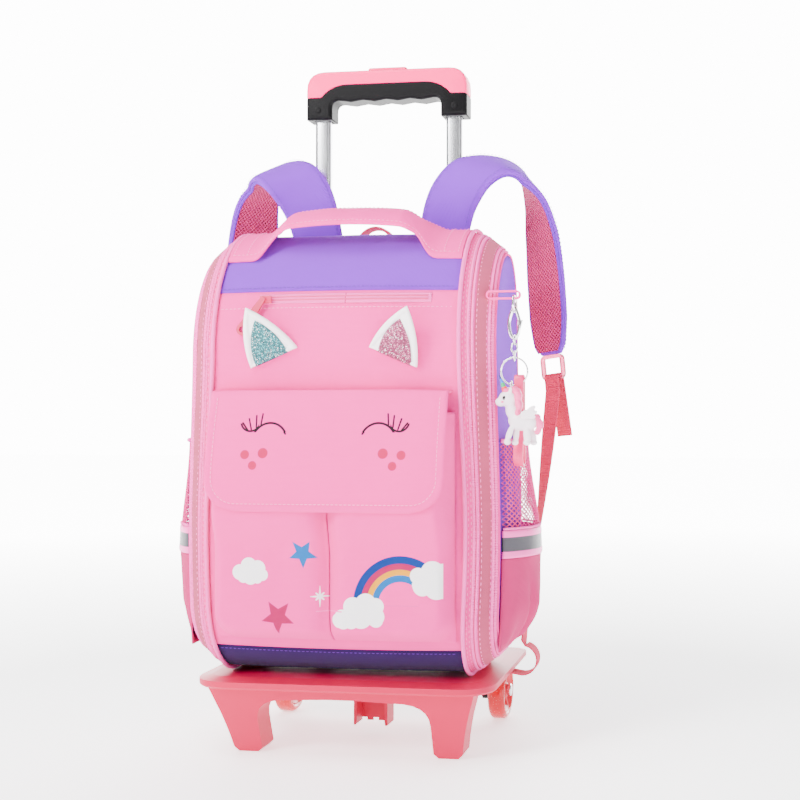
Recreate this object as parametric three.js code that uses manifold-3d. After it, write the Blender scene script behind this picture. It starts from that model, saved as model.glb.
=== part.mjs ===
// A child's wheeled backpack: a soft bag strapped to a two-wheeled trolley with a telescopic handle.
// Millimetres, +Z up, the bag's front faces -Y, and +X is to the right of someone who looks at the front.
import * as THREE from "three";
import { mergeVertices } from "three/addons/utils/BufferGeometryUtils.js";
import Module from "manifold-3d";

const wasm = await Module();
wasm.setup();

// Clearances and walls
const seat = 0.3; // between a piece and what carries it
const clothWall = 2.5;
const thinCloth = 1.6;

// Bag: its profile from the side is a rounded rectangle in Y and Z
const bagFront = -38;
const bagBack = 118;
const bagBottom = 80;
const bagTop = 500;
const browDepth = 90; // front top corner, along Y
const browHeight = 120; // front top corner, along Z
const chinDepth = 55; // front bottom corner, along Y
const chinHeight = 65; // front bottom corner, along Z
const napeDepth = 60; // back top corner, along Y
const napeHeight = 80; // back top corner, along Z
const backRadius = 30; // back bottom corner
const frontCrown = 3;

// Bag: across its width
const panelHalf = 116; // middle panels, out to the front piping
const panelSwell = 7; // how far the bag fills out at its fullest height
const swellHeight = 212;
const swellReach = 115;
const gussetWidth = 30; // from the front piping out to the side panel
const gussetDepth = 22; // how far the gusset turns back from the panels
const gussetBow = 0.35; // 0 is a flat bevel, 1 a quarter round
const sideSwellShare = 0.6; // of the panels' swell that the sides follow
const sideBulge = 3;
const sideBulgeRing = 0.5; // where the side panel's face bends, from its middle to its rim

// Seams, by the height at which they cross the front, and what is sewn on
const yokeSeamHeight = 437;
const handleSeamHeight = 467;
const chinSeamHeight = 107;
const handleBackY = 47; // rear edge of the strip that the carry handle is part of
const pipingRadius = 1.8;
const zipWidth = 6;
const zipHeight = 1.6;
const zipPlaces = [0.26, 0.8]; // where the two side zips run across the gusset, from front to rear

// Front pocket and its flap
const pocketHalf = 114;
const pocketBottom = 116;
const pocketTop = 325;
const pocketDepth = 18;
const pocketSlope = 6; // how far its side walls lean in
const pocketSpacing = 1.3; // above 1, its rows lie closer together at the foot
const pocketSwell = 45; // the stretch below the flap's edge over which the pocket fills out to the flap
const pocketShoulder = 0.14; // share of its height and of its width over which it rises at its edges
const pleatGap = 0.8;
const pleatFrom = 0.8; // where the pouch starts to fall back towards the pleat, across its width
const pleatFall = 0.3;
const flapHalf = 111;
const flapTop = 345;
const flapBottom = 236;
const flapFront = -76;
const flapShelf = 17; // depth of the fold at its top
const flapCorner = 30;
const flapWall = 3;

// Front zip
const frontZipLeft = -74;
const frontZipRight = 90;
const frontZipHeight = 9;
const frontZipDrop = 3; // below the yoke's seam
const sliderLength = 11;
const sliderHeight = 7;
const sliderDepth = 3;
const sliderInset = 2; // from the tape's left end
const pullInset = 7; // of the pull's pivot, from the tape's left end
const pullRise = 2; // of the pull's pivot, above the tape's middle
const pullLength = 42;
const pullWidth = 9;
const pullThickness = 2.4;
const pullLean = 0.62; // radians from the vertical, towards the bag's left edge
const pullRing = 5.5;

// Ears: each is sewn on along its base and stands off the panel
const earBaseInner = new THREE.Vector2(34, 385);
const earBaseOuter = new THREE.Vector2(79, 366);
const earHeight = 53;
const earTipShare = 0.5; // where the tip lies between the outer and the inner end of the base
const earLean = 0.47; // radians off the panel
const earWall = 2.4;
const earBorder = 7;
const earInnerWall = 1;
const earBulge = 4; // how far each side bows out

// Side pockets
const sidePocketFront = -13;
const sidePocketBack = 90;
const sidePocketBottom = 104;
const sidePocketBand = 190; // lower edge of the reflective strip
const bandHeight = 26;
const sidePocketTop = 300;
const sidePocketBulge = 25;
const sidePocketMouth = 13; // bulge at the top
const sidePocketFill = 45; // height over which it fills out from its foot
const sidePocketRound = 0.75; // below 1, its section is fuller than an arch
const netRows = 3;
const netColumns = 5;
const netHole = 15;
const stripWall = 1;

// Back pad
const padHalf = 96;
const padBottom = 118;
const padTop = 462;
const padThickness = 14;
const padEdge = 2;

// Carry handle: lies on the brow at its ends and lifts off in the middle
const handleLift = 24;
const handleFlatFrom = 92; // outward of this it lies on the bag
const handleGripFrom = 52; // inward of this it is at its full lift
const handleGripWidth = 30;
const handleWall = 3;
const handlePad = 2.4; // added to the wall along the grip
const handleArch = 0.12; // share of its lift that it loses towards the grip's ends
const handleTaper = 0.7; // share of its lift over which the strip narrows to the grip

// Hang loop between the shoulder straps
const hangHalf = 21;
const hangHeight = 26;
const hangWidth = 16;
const hangFoot = 488;
const hangSink = 1.9; // how far its foot sits inside the nape's curve, where the facets run flatter

// Shoulder straps: the right one's centre line, chosen by hand, with the direction across it and its width
const strapStations = [
  { at: [64, 112, 468], across: [1, 0, 0], width: 50 },
  { at: [66, 112, 492], across: [1, -0.03, -0.04], width: 52 },
  { at: [70, 107, 520], across: [1, -0.06, -0.1], width: 54 },
  { at: [80, 104, 548], across: [0.92, -0.2, -0.34], width: 57 },
  { at: [99, 104, 570], across: [0.78, -0.42, -0.46], width: 58 },
  { at: [122, 116, 580], across: [0.5, -0.72, -0.44], width: 58 },
  { at: [143, 133, 573], across: [0.2, -0.93, -0.33], width: 58 },
  { at: [157, 143, 549], across: [0.45, -0.87, -0.18], width: 58 },
  { at: [164, 148, 512], across: [0.66, -0.75, -0.08], width: 58 },
  { at: [168, 149, 468], across: [0.75, -0.66, 0], width: 57 },
  { at: [171, 149, 424], across: [0.8, -0.6, 0.03], width: 53 },
  { at: [173, 148, 396], across: [0.81, -0.58, 0.04], width: 42 },
  { at: [174, 148, 386], across: [0.81, -0.58, 0.04], width: 28 },
];
const strapRoot = 64; // how far from the middle each strap is sewn on
const strapReach = { left: 0.9, right: 1 }; // how far each strap spreads sideways, as a share
const strapThickness = 9;
const strapSteps = 18;

// Webbing between a strap's buckle and the bag's lower corner
const webWidth = 20;
const webThickness = 1.4;
const webFoot = { x: 153.5, y: 110, z: 112 };
const webSlack = 9; // how far it bows to the rear of the straight line
const webBehind = 14; // how far the webbing runs down behind the buckle before it heads for its foot
const webReturn = 12; // how far it is sewn in under the tray
const tailLength = 62;
const tailSwing = 4; // how far the tail's end hangs off the buckle's face
const buckleLength = 26;
const buckleWidth = 32;
const buckleThickness = 4;
const buckleBar = 4;
const buckleCorner = 6;
const loopRadius = 15; // of the loop that holds the bag to the tray
const loopY = 98;

// Trolley base
const trayHalf = 145;
const trayFront = -34;
const trayBack = 172;
const trayCorner = 34;
const trayRearCorner = 14;
const trayUnder = 66;
const trayTop = bagBottom - 2 * (pipingRadius + seat); // the bag rests on its piping
const trayLip = 7;
const platformInset = 13;
const legTopOuter = 128;
const footOuter = 112;
const footInner = 84;
const footChamfer = 4.5;
const legDepth = 30;
const legLean = 26; // how far forward the front legs' tops are of their feet
const archTop = 57;
const archRadius = 24;
const mouldedWall = 3;
const centreLegWidth = 35;
const centreLegDepth = 24;
const centreLegFront = 74;
const centreLegFoot = 9.5;
const centreLegNotch = 3;
const centreNotches = [-0.36, -0.02, 0.34]; // shares of the leg's width
const trayRound = 2; // the tray's lower edge
const archRise = 2; // how far the arch between the feet bows up from its ends to its middle
const archEnd = 4;
const legBow = 4; // how far the outer edge of a leg bows out at its middle

// Wheels and axle
const wheelX = 117;
const wheelY = 161;
const wheelRadius = 30;
const tyreWidth = 19;
const tyreDepth = 8;
const hubWidth = 15;
const hubWall = 3;
const wheelSides = 16;
const treadShare = 0.62; // of the tyre's width that is flat at the floor
const webShare = 0.35; // of the hub's width that its web takes
const axleRadius = 3.2;
const axleRunning = 0.4; // between the axle and the bores that turn on it
const axleSides = 12;
const capRadius = 6.5;
const capWidth = 4;
const capChamfer = 1;
const bracketWidth = 9;
const bracketEnd = 10;
const bracketTop = 20;
const sparDepth = 14;
const sparHeight = 10;
const sparAboveAxle = 3;

// Telescopic handle
const tubeX = 71.5;
const tubeY = 140.6;
const outerTube = { x: 20, y: 14.6, wall: 1.2 };
const tubeClearance = 0.3;
const innerWall = 1.1;
const tubeCorner = 4;
const outerTubeTop = 486;
const innerFootStop = 3; // left below the inner tube when the handle is pushed all the way in
const gripTop = 687;
const gripHeight = 51;
const gripFoot = gripTop - gripHeight;
const gripHalf = 87;
const gripDepth = 27;
const gripBevel = 3.5;
const gripShoulder = 20;
const gripInnerCorner = 8;
const capSeamFrom = 0.6; // shares of the arm's width between which the cap's seam rises
const capSeamTo = 1.6;
const socketDepth = 12;
const armWidth = 28;
const barHeight = 31; // of the bar between the arms, down to its underside
const barUnder = gripTop - barHeight;
const fingerWave = 2;
const fingerWaves = 4;
const capHeightEnd = 28; // how far the pink cap reaches down the black housing, at the ends
const capHeightMiddle = 15;
const capSeamEnd = gripTop - capHeightEnd;
const capSeamMiddle = gripTop - capHeightMiddle;
const buttonHalf = 21;
const buttonDepth = 15;
const buttonProud = 3.4;
const buttonSink = 6;
const buttonTravel = 3;
const buttonCorner = 3;
const buttonBevel = 1;

// Charm on the bag's right: everything hangs on one line
const tabHeightOnFront = 436;
const tabTurn = 0.5; // where the tab is sewn across the gusset, from front to rear
const tabHeight = 8;
const tabWidth = 6;
const tabWall = 1.5;
const tabFlat = 0.2; // straight half of its folded end
const tabBeyond = 6; // how far the tab reaches past the hanging line
const tabLift = 0.6; // the tab's foot off the gusset
const splitRingHeight = 362;
const ringWire = 1.1;
const dRingRadius = 7;
const dRingFlat = 0.4; // 0 is round, 1 square
const claspLength = 28;
const claspHalfWidth = 5;
const claspWire = 1.6;
const chainLinks = 3;
const linkLength = 8.4;
const linkHalfWidth = 2.9;
const linkWire = 0.8;
const splitRingRadius = 12.5;
const eyeletRadius = 3.4;
const figureWire = 0.9;
const figureForward = 20; // from the split ring to the figure's middle
const figureAt = -3; // where its eyelet hangs on the split ring, from the ring's lowest point
const figureOffset = 8; // from its eyelet to the middle of its masses, away from the bag
const bandAt = 5;
const bandLoopLength = 84;
const bandLoopHalf = 9;
const bandThroat = 5;
const bandStrip = 9;
const bandWall = 2.2;

// Materials
const paint = (color, roughness, metalness = 0) =>
  new THREE.MeshStandardMaterial({ color, roughness, metalness });
const pinkCloth = paint(0xf29abb, 0.85);
const purpleCloth = paint(0x9a78dc, 0.8);
const netCloth = paint(0xe884ac, 0.9);
const whiteCloth = paint(0xf4eef2, 0.85);
const greyStrip = paint(0x6a6a70, 0.4);
const webCloth = paint(0xe07c96, 0.8);
const redPlastic = paint(0xfa3f5f, 0.35);
const pinkPlastic = paint(0xfb6b98, 0.35);
const blackPlastic = paint(0x161616, 0.4);
const clearPink = paint(0xf26a80, 0.15);
const aluminium = paint(0xd8d8dc, 0.3, 0.9);
const steel = paint(0xc8c8c8, 0.2, 1);
const rubberPink = paint(0xf06098, 0.5);
const figureWhite = paint(0xf6f0f2, 0.45);

const bag = new THREE.Group();
const trolley = new THREE.Group();
const charm = new THREE.Group();

const vec = (x, y, z) => new THREE.Vector3(x, y, z);
const mix = THREE.MathUtils.lerp;
const smooth = (value, from, to) => THREE.MathUtils.smoothstep(value, from, to);

function add(group, name, geometry, material) {
  const mesh = new THREE.Mesh(geometry, material);
  mesh.name = name;
  group.add(mesh);
  return mesh;
}

// Turns a closed geometry's faces outwards
function facingOut(geometry) {
  const position = geometry.getAttribute("position");
  const index = geometry.index.array;
  const [a, b, c] = [vec(), vec(), vec()];
  let volume = 0;
  for (let i = 0; i < index.length; i += 3) {
    a.fromBufferAttribute(position, index[i]);
    b.fromBufferAttribute(position, index[i + 1]);
    c.fromBufferAttribute(position, index[i + 2]);
    volume += a.dot(b.cross(c));
  }
  if (volume < 0) {
    for (let i = 0; i < index.length; i += 3) {
      [index[i + 1], index[i + 2]] = [index[i + 2], index[i + 1]];
    }
  }
  return geometry;
}

function closedGeometry(points, index) {
  const geometry = new THREE.BufferGeometry().setFromPoints(points);
  geometry.setIndex(index);
  return facingOut(geometry);
}

// A wall between two faces: pointAt(row, column, depth) takes shares from 0 to 1, and depth 0 is its outer
// face. With loops, the last row joins the first, as on a ring.
function wall(rows, columns, pointAt, loops = false) {
  const rowCount = loops ? rows : rows + 1;
  const width = columns + 1;
  const points = [];
  for (const depth of [0, 1]) {
    for (let r = 0; r < rowCount; r++) {
      for (let c = 0; c < width; c++) points.push(pointAt(r / rows, c / columns, depth));
    }
  }
  const at = (r, c, depth) => depth * rowCount * width + (r % rowCount) * width + c;
  const index = [];
  const quad = (a, b, c, d) => index.push(a, b, c, a, c, d);
  for (let r = 0; r < rows; r++) {
    for (let c = 0; c < columns; c++) {
      quad(at(r, c, 0), at(r, c + 1, 0), at(r + 1, c + 1, 0), at(r + 1, c, 0));
      quad(at(r, c, 1), at(r + 1, c, 1), at(r + 1, c + 1, 1), at(r, c + 1, 1));
    }
    quad(at(r, 0, 0), at(r + 1, 0, 0), at(r + 1, 0, 1), at(r, 0, 1));
    quad(at(r, columns, 0), at(r, columns, 1), at(r + 1, columns, 1), at(r + 1, columns, 0));
  }
  if (!loops) {
    for (let c = 0; c < columns; c++) {
      quad(at(0, c, 0), at(0, c, 1), at(0, c + 1, 1), at(0, c + 1, 0));
      quad(at(rows, c, 0), at(rows, c + 1, 0), at(rows, c + 1, 1), at(rows, c, 1));
    }
  }
  return closedGeometry(points, index);
}

// A bar through a list of section rings, closed by its ends or, with loops, joined end to start
function skin(rings, loops = false) {
  const sides = rings[0].length;
  const points = rings.flat();
  const index = [];
  const spans = loops ? rings.length : rings.length - 1;
  for (let i = 0; i < spans; i++) {
    const next = (i + 1) % rings.length;
    for (let j = 0; j < sides; j++) {
      const k = (j + 1) % sides;
      const [a, b, c, d] = [i * sides + j, i * sides + k, next * sides + k, next * sides + j];
      index.push(a, b, c, a, c, d);
    }
  }
  if (!loops) {
    const first = points.length;
    for (const [ring, start] of [[rings[0], 0], [rings.at(-1), (rings.length - 1) * sides]]) {
      const centre = ring.reduce((sum, p) => sum.add(p), vec()).divideScalar(sides);
      const tip = points.push(centre) - 1;
      for (let j = 0; j < sides; j++) {
        const [p, q] = [start + j, start + ((j + 1) % sides)];
        index.push(tip, ...(tip === first ? [q, p] : [p, q]));
      }
    }
  }
  return closedGeometry(points, index);
}

function merged(geometry) {
  const bare = new THREE.BufferGeometry();
  bare.setAttribute("position", geometry.getAttribute("position").clone());
  if (geometry.index) bare.setIndex(geometry.index.clone());
  return mergeVertices(bare, 1e-3);
}

function solid(geometry) {
  const g = merged(geometry);
  return new wasm.Manifold(
    new wasm.Mesh({
      numProp: 3,
      vertProperties: new Float32Array(g.getAttribute("position").array),
      triVerts: new Uint32Array(g.index.array),
    }),
  );
}

function geometryOf(manifold) {
  const made = manifold.getMesh();
  const geometry = new THREE.BufferGeometry();
  geometry.setAttribute("position", new THREE.BufferAttribute(made.vertProperties, 3));
  geometry.setIndex(new THREE.BufferAttribute(made.triVerts, 1));
  return geometry;
}

const union = (geometries) => geometryOf(geometries.map(solid).reduce((a, b) => a.add(b)));
const cut = (body, tools) => geometryOf(tools.map(solid).reduce((a, b) => a.subtract(b), solid(body)));

function block(x0, x1, y0, y1, z0, z1) {
  const box = new THREE.BoxGeometry(x1 - x0, y1 - y0, z1 - z0);
  return box.translate((x0 + x1) / 2, (y0 + y1) / 2, (z0 + z1) / 2);
}

// A rounded rectangle as a shape, centred, with corners of a few straight steps
function roundedRectangle(width, height, radius) {
  const [w, h] = [width / 2 - radius, height / 2 - radius];
  const shape = new THREE.Shape();
  shape.moveTo(w + radius, -h);
  shape.lineTo(w + radius, h);
  shape.absarc(w, h, radius, 0, Math.PI / 2);
  shape.lineTo(-w, h + radius);
  shape.absarc(-w, h, radius, Math.PI / 2, Math.PI);
  shape.lineTo(-w - radius, -h);
  shape.absarc(-w, -h, radius, Math.PI, 1.5 * Math.PI);
  shape.lineTo(w, -h - radius);
  shape.absarc(w, -h, radius, 1.5 * Math.PI, 2 * Math.PI);
  return shape;
}

// A shape drawn in X and Z, made as thick as depth from its front face at y
function upright(shape, y, depth, steps = 6, bevel = 0) {
  const options = { depth: depth - 2 * bevel, curveSegments: steps, bevelEnabled: bevel > 0 };
  Object.assign(options, { bevelSize: bevel, bevelThickness: bevel, bevelSegments: 2, bevelOffset: -bevel });
  const geometry = new THREE.ExtrudeGeometry(shape, options);
  return geometry.rotateX(Math.PI / 2).translate(0, y + depth - bevel, 0);
}

// The bag's profile, from the foot of its front, up, over, down the back and along the bottom
const profile = new THREE.Path();
profile.moveTo(bagFront, bagBottom + chinHeight);
profile.lineTo(bagFront, bagTop - browHeight);
profile.absellipse(
  bagFront + browDepth, bagTop - browHeight, browDepth, browHeight, Math.PI, Math.PI / 2, true,
);
profile.lineTo(bagBack - napeDepth, bagTop);
profile.absellipse(
  bagBack - napeDepth, bagTop - napeHeight, napeDepth, napeHeight, Math.PI / 2, 0, true,
);
profile.lineTo(bagBack, bagBottom + backRadius);
profile.absarc(bagBack - backRadius, bagBottom + backRadius, backRadius, 0, -Math.PI / 2, true);
profile.lineTo(bagFront + chinDepth, bagBottom);
profile.absellipse(
  bagFront + chinDepth, bagBottom + chinHeight, chinDepth, chinHeight, -Math.PI / 2, -Math.PI, true,
);

const wrap = (share) => share - Math.floor(share);

// How far the bag's middle panels and its sides reach at a height
const swell = (z) => panelSwell * Math.exp(-(((z - swellHeight) / swellReach) ** 2));
const panelEdge = (z) => panelHalf + swell(z);
const sideFace = (z) => panelHalf + gussetWidth + sideSwellShare * swell(z);

// A point on the bag's panels: share is the place along the profile, across runs from -1 to 1, and out is the
// distance off the surface
function panelPoint(share, across, out) {
  const flat = profile.getPoint(wrap(share));
  const along = profile.getTangent(wrap(share));
  const crown = frontCrown * Math.max(0, along.y) * (1 - across * across);
  const off = crown + out;
  return vec(across * panelEdge(flat.y), flat.x - along.y * off, flat.y + along.x * off);
}

// A point on the gusset: turn runs from 0 at the front piping to 1 at the side panel
function gussetPoint(share, side, turn, out) {
  const flat = profile.getPoint(wrap(share));
  const along = profile.getTangent(wrap(share));
  const [sine, cosine] = [Math.sin((turn * Math.PI) / 2), Math.cos((turn * Math.PI) / 2)];
  const edge = panelEdge(flat.y);
  const reach = (sideFace(flat.y) - edge) * mix(turn, sine, gussetBow);
  const off = out * cosine - gussetDepth * mix(turn, 1 - cosine, gussetBow);
  return vec(side * (edge + reach + out * sine), flat.x - along.y * off, flat.y + along.x * off);
}

// The first share of the profile in a stretch for which a condition holds to the stretch's end
function shareWhere(low, high, reached) {
  let [from, to] = [low, high];
  for (let i = 0; i < 40; i++) {
    const middle = (from + to) / 2;
    if (reached(profile.getPoint(wrap(middle)))) to = middle;
    else from = middle;
  }
  return to;
}
const frontShare = (z) => shareWhere(-0.15, 0.45, (p) => p.y >= z);
const topShare = (y) => shareWhere(0.2, 0.5, (p) => p.x >= y);

const length = profile.getLength();
const yokeSeam = frontShare(yokeSeamHeight);
const chinSeam = frontShare(chinSeamHeight);
const browStart = frontShare(bagTop - browHeight);
const browEnd = topShare(bagFront + browDepth);
const napeSeam = topShare(bagBack - napeDepth);
const napeEnd = shareWhere(0.4, 0.9, (p) => p.y <= bagTop - napeHeight);
const heelStart = shareWhere(0.4, 0.9, (p) => p.y <= bagBottom + backRadius);
const heelSeam = shareWhere(0.6, 0.99, (p) => p.x <= bagBack - backRadius);
const chinStart = shareWhere(0.8, 0.99, (p) => p.x <= bagFront + chinDepth);

// Everything sewn round the profile bends at the same stations, closer together where the profile curves
const stretches = [
  { from: heelSeam - 1, to: chinStart - 1, steps: 1 },
  { from: chinStart - 1, to: chinSeam, steps: 3 },
  { from: chinSeam, to: 0, steps: 2 },
  { from: 0, to: browStart, steps: 5 },
  { from: browStart, to: yokeSeam, steps: 3 },
  { from: yokeSeam, to: browEnd, steps: 6 },
  { from: browEnd, to: napeSeam, steps: 1 },
  { from: napeSeam, to: napeEnd, steps: 5 },
  { from: napeEnd, to: heelStart, steps: 5 },
  { from: heelStart, to: heelSeam, steps: 3 },
];
const stations = stretches.flatMap(({ from, to, steps }) => (
  Array.from({ length: steps }, (_, i) => mix(from, to, i / steps))
));
const stationsBetween = (from, to) => (
  [...stations, heelSeam].filter((share) => share >= from && share <= to)
);

// The panel's Y at a height on the bag's front, at a distance x from the middle
const frontAt = (x, z, out) => panelPoint(frontShare(z), x / panelEdge(z), out).y;

function panel(name, from, to, columns, material) {
  const shares = stationsBetween(from, to);
  const rows = shares.length - 1;
  const gapShare = seat / 2 / length;
  shares[0] += gapShare;
  shares[rows] -= gapShare;
  const trim = 1 - seat / 2 / panelHalf;
  const geometry = wall(rows, columns, (r, c, depth) => (
    panelPoint(shares[Math.round(r * rows)], mix(-trim, trim, c), -depth * clothWall)
  ));
  add(bag, name, geometry, material);
}

const gussetSteps = stations.length;

function gusset(label, side) {
  const geometry = wall(gussetSteps, 3, (r, c, depth) => {
    const share = stations[Math.round(r * gussetSteps) % gussetSteps];
    return gussetPoint(share, side, mix(seat / 2 / gussetWidth, 1, c), -depth * clothWall);
  }, true);
  add(bag, `gusset_${label}`, geometry, pinkCloth);
}

// A side panel is a shallow dish inside the gusset's rear edge
function sidePanel(label, side) {
  const shares = [1, sideBulgeRing];
  const middle = vec(0, (bagFront + bagBack) / 2, (bagBottom + bagTop) / 2);
  const points = [];
  for (const depth of [0, 1]) {
    for (const share of shares) {
      for (let i = 0; i < gussetSteps; i++) {
        const rim = gussetPoint(stations[i], side, 1, 0);
        const centre = middle.clone().setX(rim.x);
        const inward = centre.clone().sub(rim).normalize();
        const p = rim.addScaledVector(inward, 2 * seat).lerp(centre, 1 - share);
        p.x += side * (sideBulge * (1 - share * share) - depth * clothWall);
        points.push(p);
      }
    }
    points.push(middle.clone().setX(side * (sideFace(middle.z) + sideBulge - depth * clothWall)));
  }
  const face = shares.length * gussetSteps + 1;
  const index = [];
  for (let i = 0; i < gussetSteps; i++) {
    const k = (i + 1) % gussetSteps;
    for (let ring = 0; ring < shares.length - 1; ring++) {
      const [a, b] = [ring * gussetSteps + i, ring * gussetSteps + k];
      const [c, d] = [b + gussetSteps, a + gussetSteps];
      index.push(a, b, c, a, c, d, a + face, c + face, b + face, a + face, d + face, c + face);
    }
    const last = (shares.length - 1) * gussetSteps;
    index.push(last + i, last + k, face - 1, last + i + face, 2 * face - 1, last + k + face);
    index.push(i, i + face, k + face, i, k + face, k);
  }
  add(bag, `side_panel_${label}`, closedGeometry(points, index), purpleCloth);
}

// A round cord sewn into the seam between the panels and the gusset
function piping(label, side) {
  const corners = 4;
  const rings = stations.map((share) => {
    const middle = gussetPoint(share, side, 0, pipingRadius + seat);
    const out = middle.clone().sub(gussetPoint(share, side, 0, 0)).normalize();
    return Array.from({ length: corners }, (__, j) => {
      const angle = (2 * Math.PI * (j + 0.5)) / corners - Math.PI / 2;
      const p = middle.clone().addScaledVector(out, pipingRadius * Math.sin(angle));
      p.x += pipingRadius * Math.cos(angle);
      return p;
    });
  });
  add(bag, `front_piping_${label}`, skin(rings, true), pinkCloth);
}

// A closed side zip, as the flat bar that its teeth and tape make; it stops at the back's foot and nape
function sideZip(label, side, place, which) {
  const half = zipWidth / 2 / Math.hypot(gussetWidth, gussetDepth);
  const rings = stationsBetween(heelSeam - 1, napeSeam).map((share) => [
    gussetPoint(share, side, place - half, seat),
    gussetPoint(share, side, place + half, seat),
    gussetPoint(share, side, place + half, seat + zipHeight),
    gussetPoint(share, side, place - half, seat + zipHeight),
  ]);
  add(bag, `side_zip_${which}_${label}`, skin(rings), pinkCloth);
}

// The flap's face falls forward from the fold at its top
function flapFace(x, z) {
  const fallen = Math.min(1, Math.max(0, (flapTop - z) / (flapTop - flapBottom)));
  return mix(frontAt(x, flapTop, seat) - flapShelf, flapFront, Math.sin((fallen * Math.PI) / 2));
}

// The front pocket is two pouches that meet at a pleat; each fills out to the flap and is open at its top
function frontPocket(label, side) {
  const geometry = wall(9, 8, (r, c, depth) => {
    const z = mix(pocketBottom, pocketTop, r ** pocketSpacing);
    const rise = smooth(r, 0, pocketShoulder) * smooth(c, 0, pocketShoulder);
    const x = mix(pocketHalf, pleatGap / 2, c) - pocketSlope * rise * (1 - c);
    const base = frontAt(x, z, seat);
    const full = base - flapFace(x, z) - flapWall - 2 * seat;
    const pleat = 1 - pleatFall * smooth(c, pleatFrom, 1);
    const out = mix(pocketDepth, full, smooth(z, flapBottom - pocketSwell, flapBottom)) * pleat;
    return vec(side * x, base - thinCloth - rise * (out - thinCloth) + depth * thinCloth, z);
  });
  add(bag, `front_pocket_${label}`, geometry, pinkCloth);
}

// The flap folds forward off the panel, then hangs over the pocket's mouth
function pocketFlap() {
  const foldRows = 2;
  const rows = 11;
  const geometry = wall(rows, 8, (r, c, depth) => {
    const fallen = Math.max(0, (r * rows - foldRows) / (rows - foldRows));
    const z = mix(flapTop, flapBottom, fallen);
    const corner = Math.max(0, flapBottom + flapCorner - z);
    const half = flapHalf - flapCorner + Math.sqrt(Math.max(0, flapCorner ** 2 - corner ** 2));
    const x = mix(-half, half, c);
    const onFold = Math.min(1, (r * rows) / foldRows);
    const y = fallen > 0 ? flapFace(x, z) : mix(frontAt(x, flapTop, seat), flapFace(x, flapTop), onFold);
    const inward = fallen > 0 ? vec(0, 1, 0) : vec(0, 0, -1);
    if (onFold === 1 && fallen === 0) inward.set(0, 1, -1);
    return vec(x, y, z).addScaledVector(inward, depth * flapWall);
  });
  add(bag, "pocket_flap", geometry, pinkCloth);
}

function frontZip() {
  const high = yokeSeamHeight - frontZipDrop;
  const low = high - frontZipHeight;
  const tape = wall(2, 8, (r, c, depth) => {
    const z = mix(low, high, r);
    const x = mix(frontZipLeft, frontZipRight, c);
    return panelPoint(frontShare(z), x / panelEdge(z), seat + (1 - depth) * zipHeight);
  });
  add(bag, "front_zip", tape, pinkCloth);
  const face = frontAt(frontZipLeft, low, 2 * seat + zipHeight);
  const middle = (low + high) / 2;
  const sliderLeft = frontZipLeft + sliderInset;
  const slider = block(
    sliderLeft, sliderLeft + sliderLength, face - sliderDepth, face,
    middle - sliderHeight / 2, middle + sliderHeight / 2,
  );
  add(bag, "zip_slider", slider, rubberPink);
  const pull = new THREE.Shape();
  pull.moveTo(-pullWidth / 4, 0);
  pull.lineTo(-pullRing, -pullLength + pullRing);
  pull.absarc(0, -pullLength + pullRing, pullRing, Math.PI, 2 * Math.PI);
  pull.lineTo(pullWidth / 4, 0);
  pull.holes.push(new THREE.Path().absarc(0, -pullLength + pullRing, pullRing / 2, 0, 2 * Math.PI, true));
  const tab = upright(pull, 0, pullThickness, 5).rotateY(pullLean);
  tab.translate(frontZipLeft + pullInset, face - sliderDepth - seat - pullThickness, middle + pullRise);
  add(bag, "zip_pull", tab, rubberPink);
}

// An ear in its own plane: the base lies along X from 0 to its length, the outer end first, and the tip
// points up. A border all round takes its slanting sides in by the shares of it that are given here.
function earShape(baseLength, border) {
  const outer = new THREE.Vector2(border * 0.8, 0);
  const inner = new THREE.Vector2(baseLength - border * 1.4, 0);
  const tip = new THREE.Vector2(baseLength * earTipShare + border * 0.35, earHeight - border * 1.9);
  const shape = new THREE.Shape();
  const bow = (from, to) => {
    const away = new THREE.Vector2(to.y - from.y, from.x - to.x).normalize().multiplyScalar(2 * earBulge);
    const control = from.clone().add(to).multiplyScalar(0.5).add(away);
    shape.quadraticCurveTo(control.x, control.y, to.x, to.y);
  };
  shape.moveTo(outer.x, outer.y);
  shape.lineTo(inner.x, inner.y);
  bow(inner, tip);
  bow(tip, outer);
  return shape;
}

function ear(label, side) {
  const base = earBaseInner.clone().sub(earBaseOuter);
  const rise = Math.atan2(base.y, -base.x);
  const foot = Math.min(
    frontAt(earBaseOuter.x, earBaseOuter.y, seat), frontAt(earBaseInner.x, earBaseInner.y, seat),
  );
  const layers = [
    { part: "ear", border: 0, thickness: earWall, lift: 0, material: whiteCloth },
    {
      part: "ear_inner", border: earBorder, thickness: earInnerWall, lift: earWall + seat,
      material: rubberPink,
    },
  ];
  for (const { part, border, thickness, lift, material } of layers) {
    const options = { depth: thickness, bevelEnabled: false, curveSegments: 5 };
    const geometry = new THREE.ExtrudeGeometry(earShape(base.length(), border), options);
    geometry.translate(0, 0, lift).rotateX(Math.PI / 2 + earLean).rotateY(-rise);
    geometry.translate(-earBaseOuter.x, foot, earBaseOuter.y);
    if (side > 0) geometry.scale(-1, 1, 1);
    add(bag, `${part}_${label}`, facingOut(merged(geometry)), material);
  }
}

// How far a side pocket fills out from the side panel, by height and by its place from front to rear
function pocketBulge(z, across) {
  const low = Math.sqrt(smooth(z, sidePocketBottom - thinCloth, sidePocketBottom + sidePocketFill));
  const high = mix(1, sidePocketMouth / sidePocketBulge, smooth(z, sidePocketBand, sidePocketTop));
  return sidePocketBulge * low * high * Math.sin(Math.PI * across) ** sidePocketRound;
}

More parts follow.
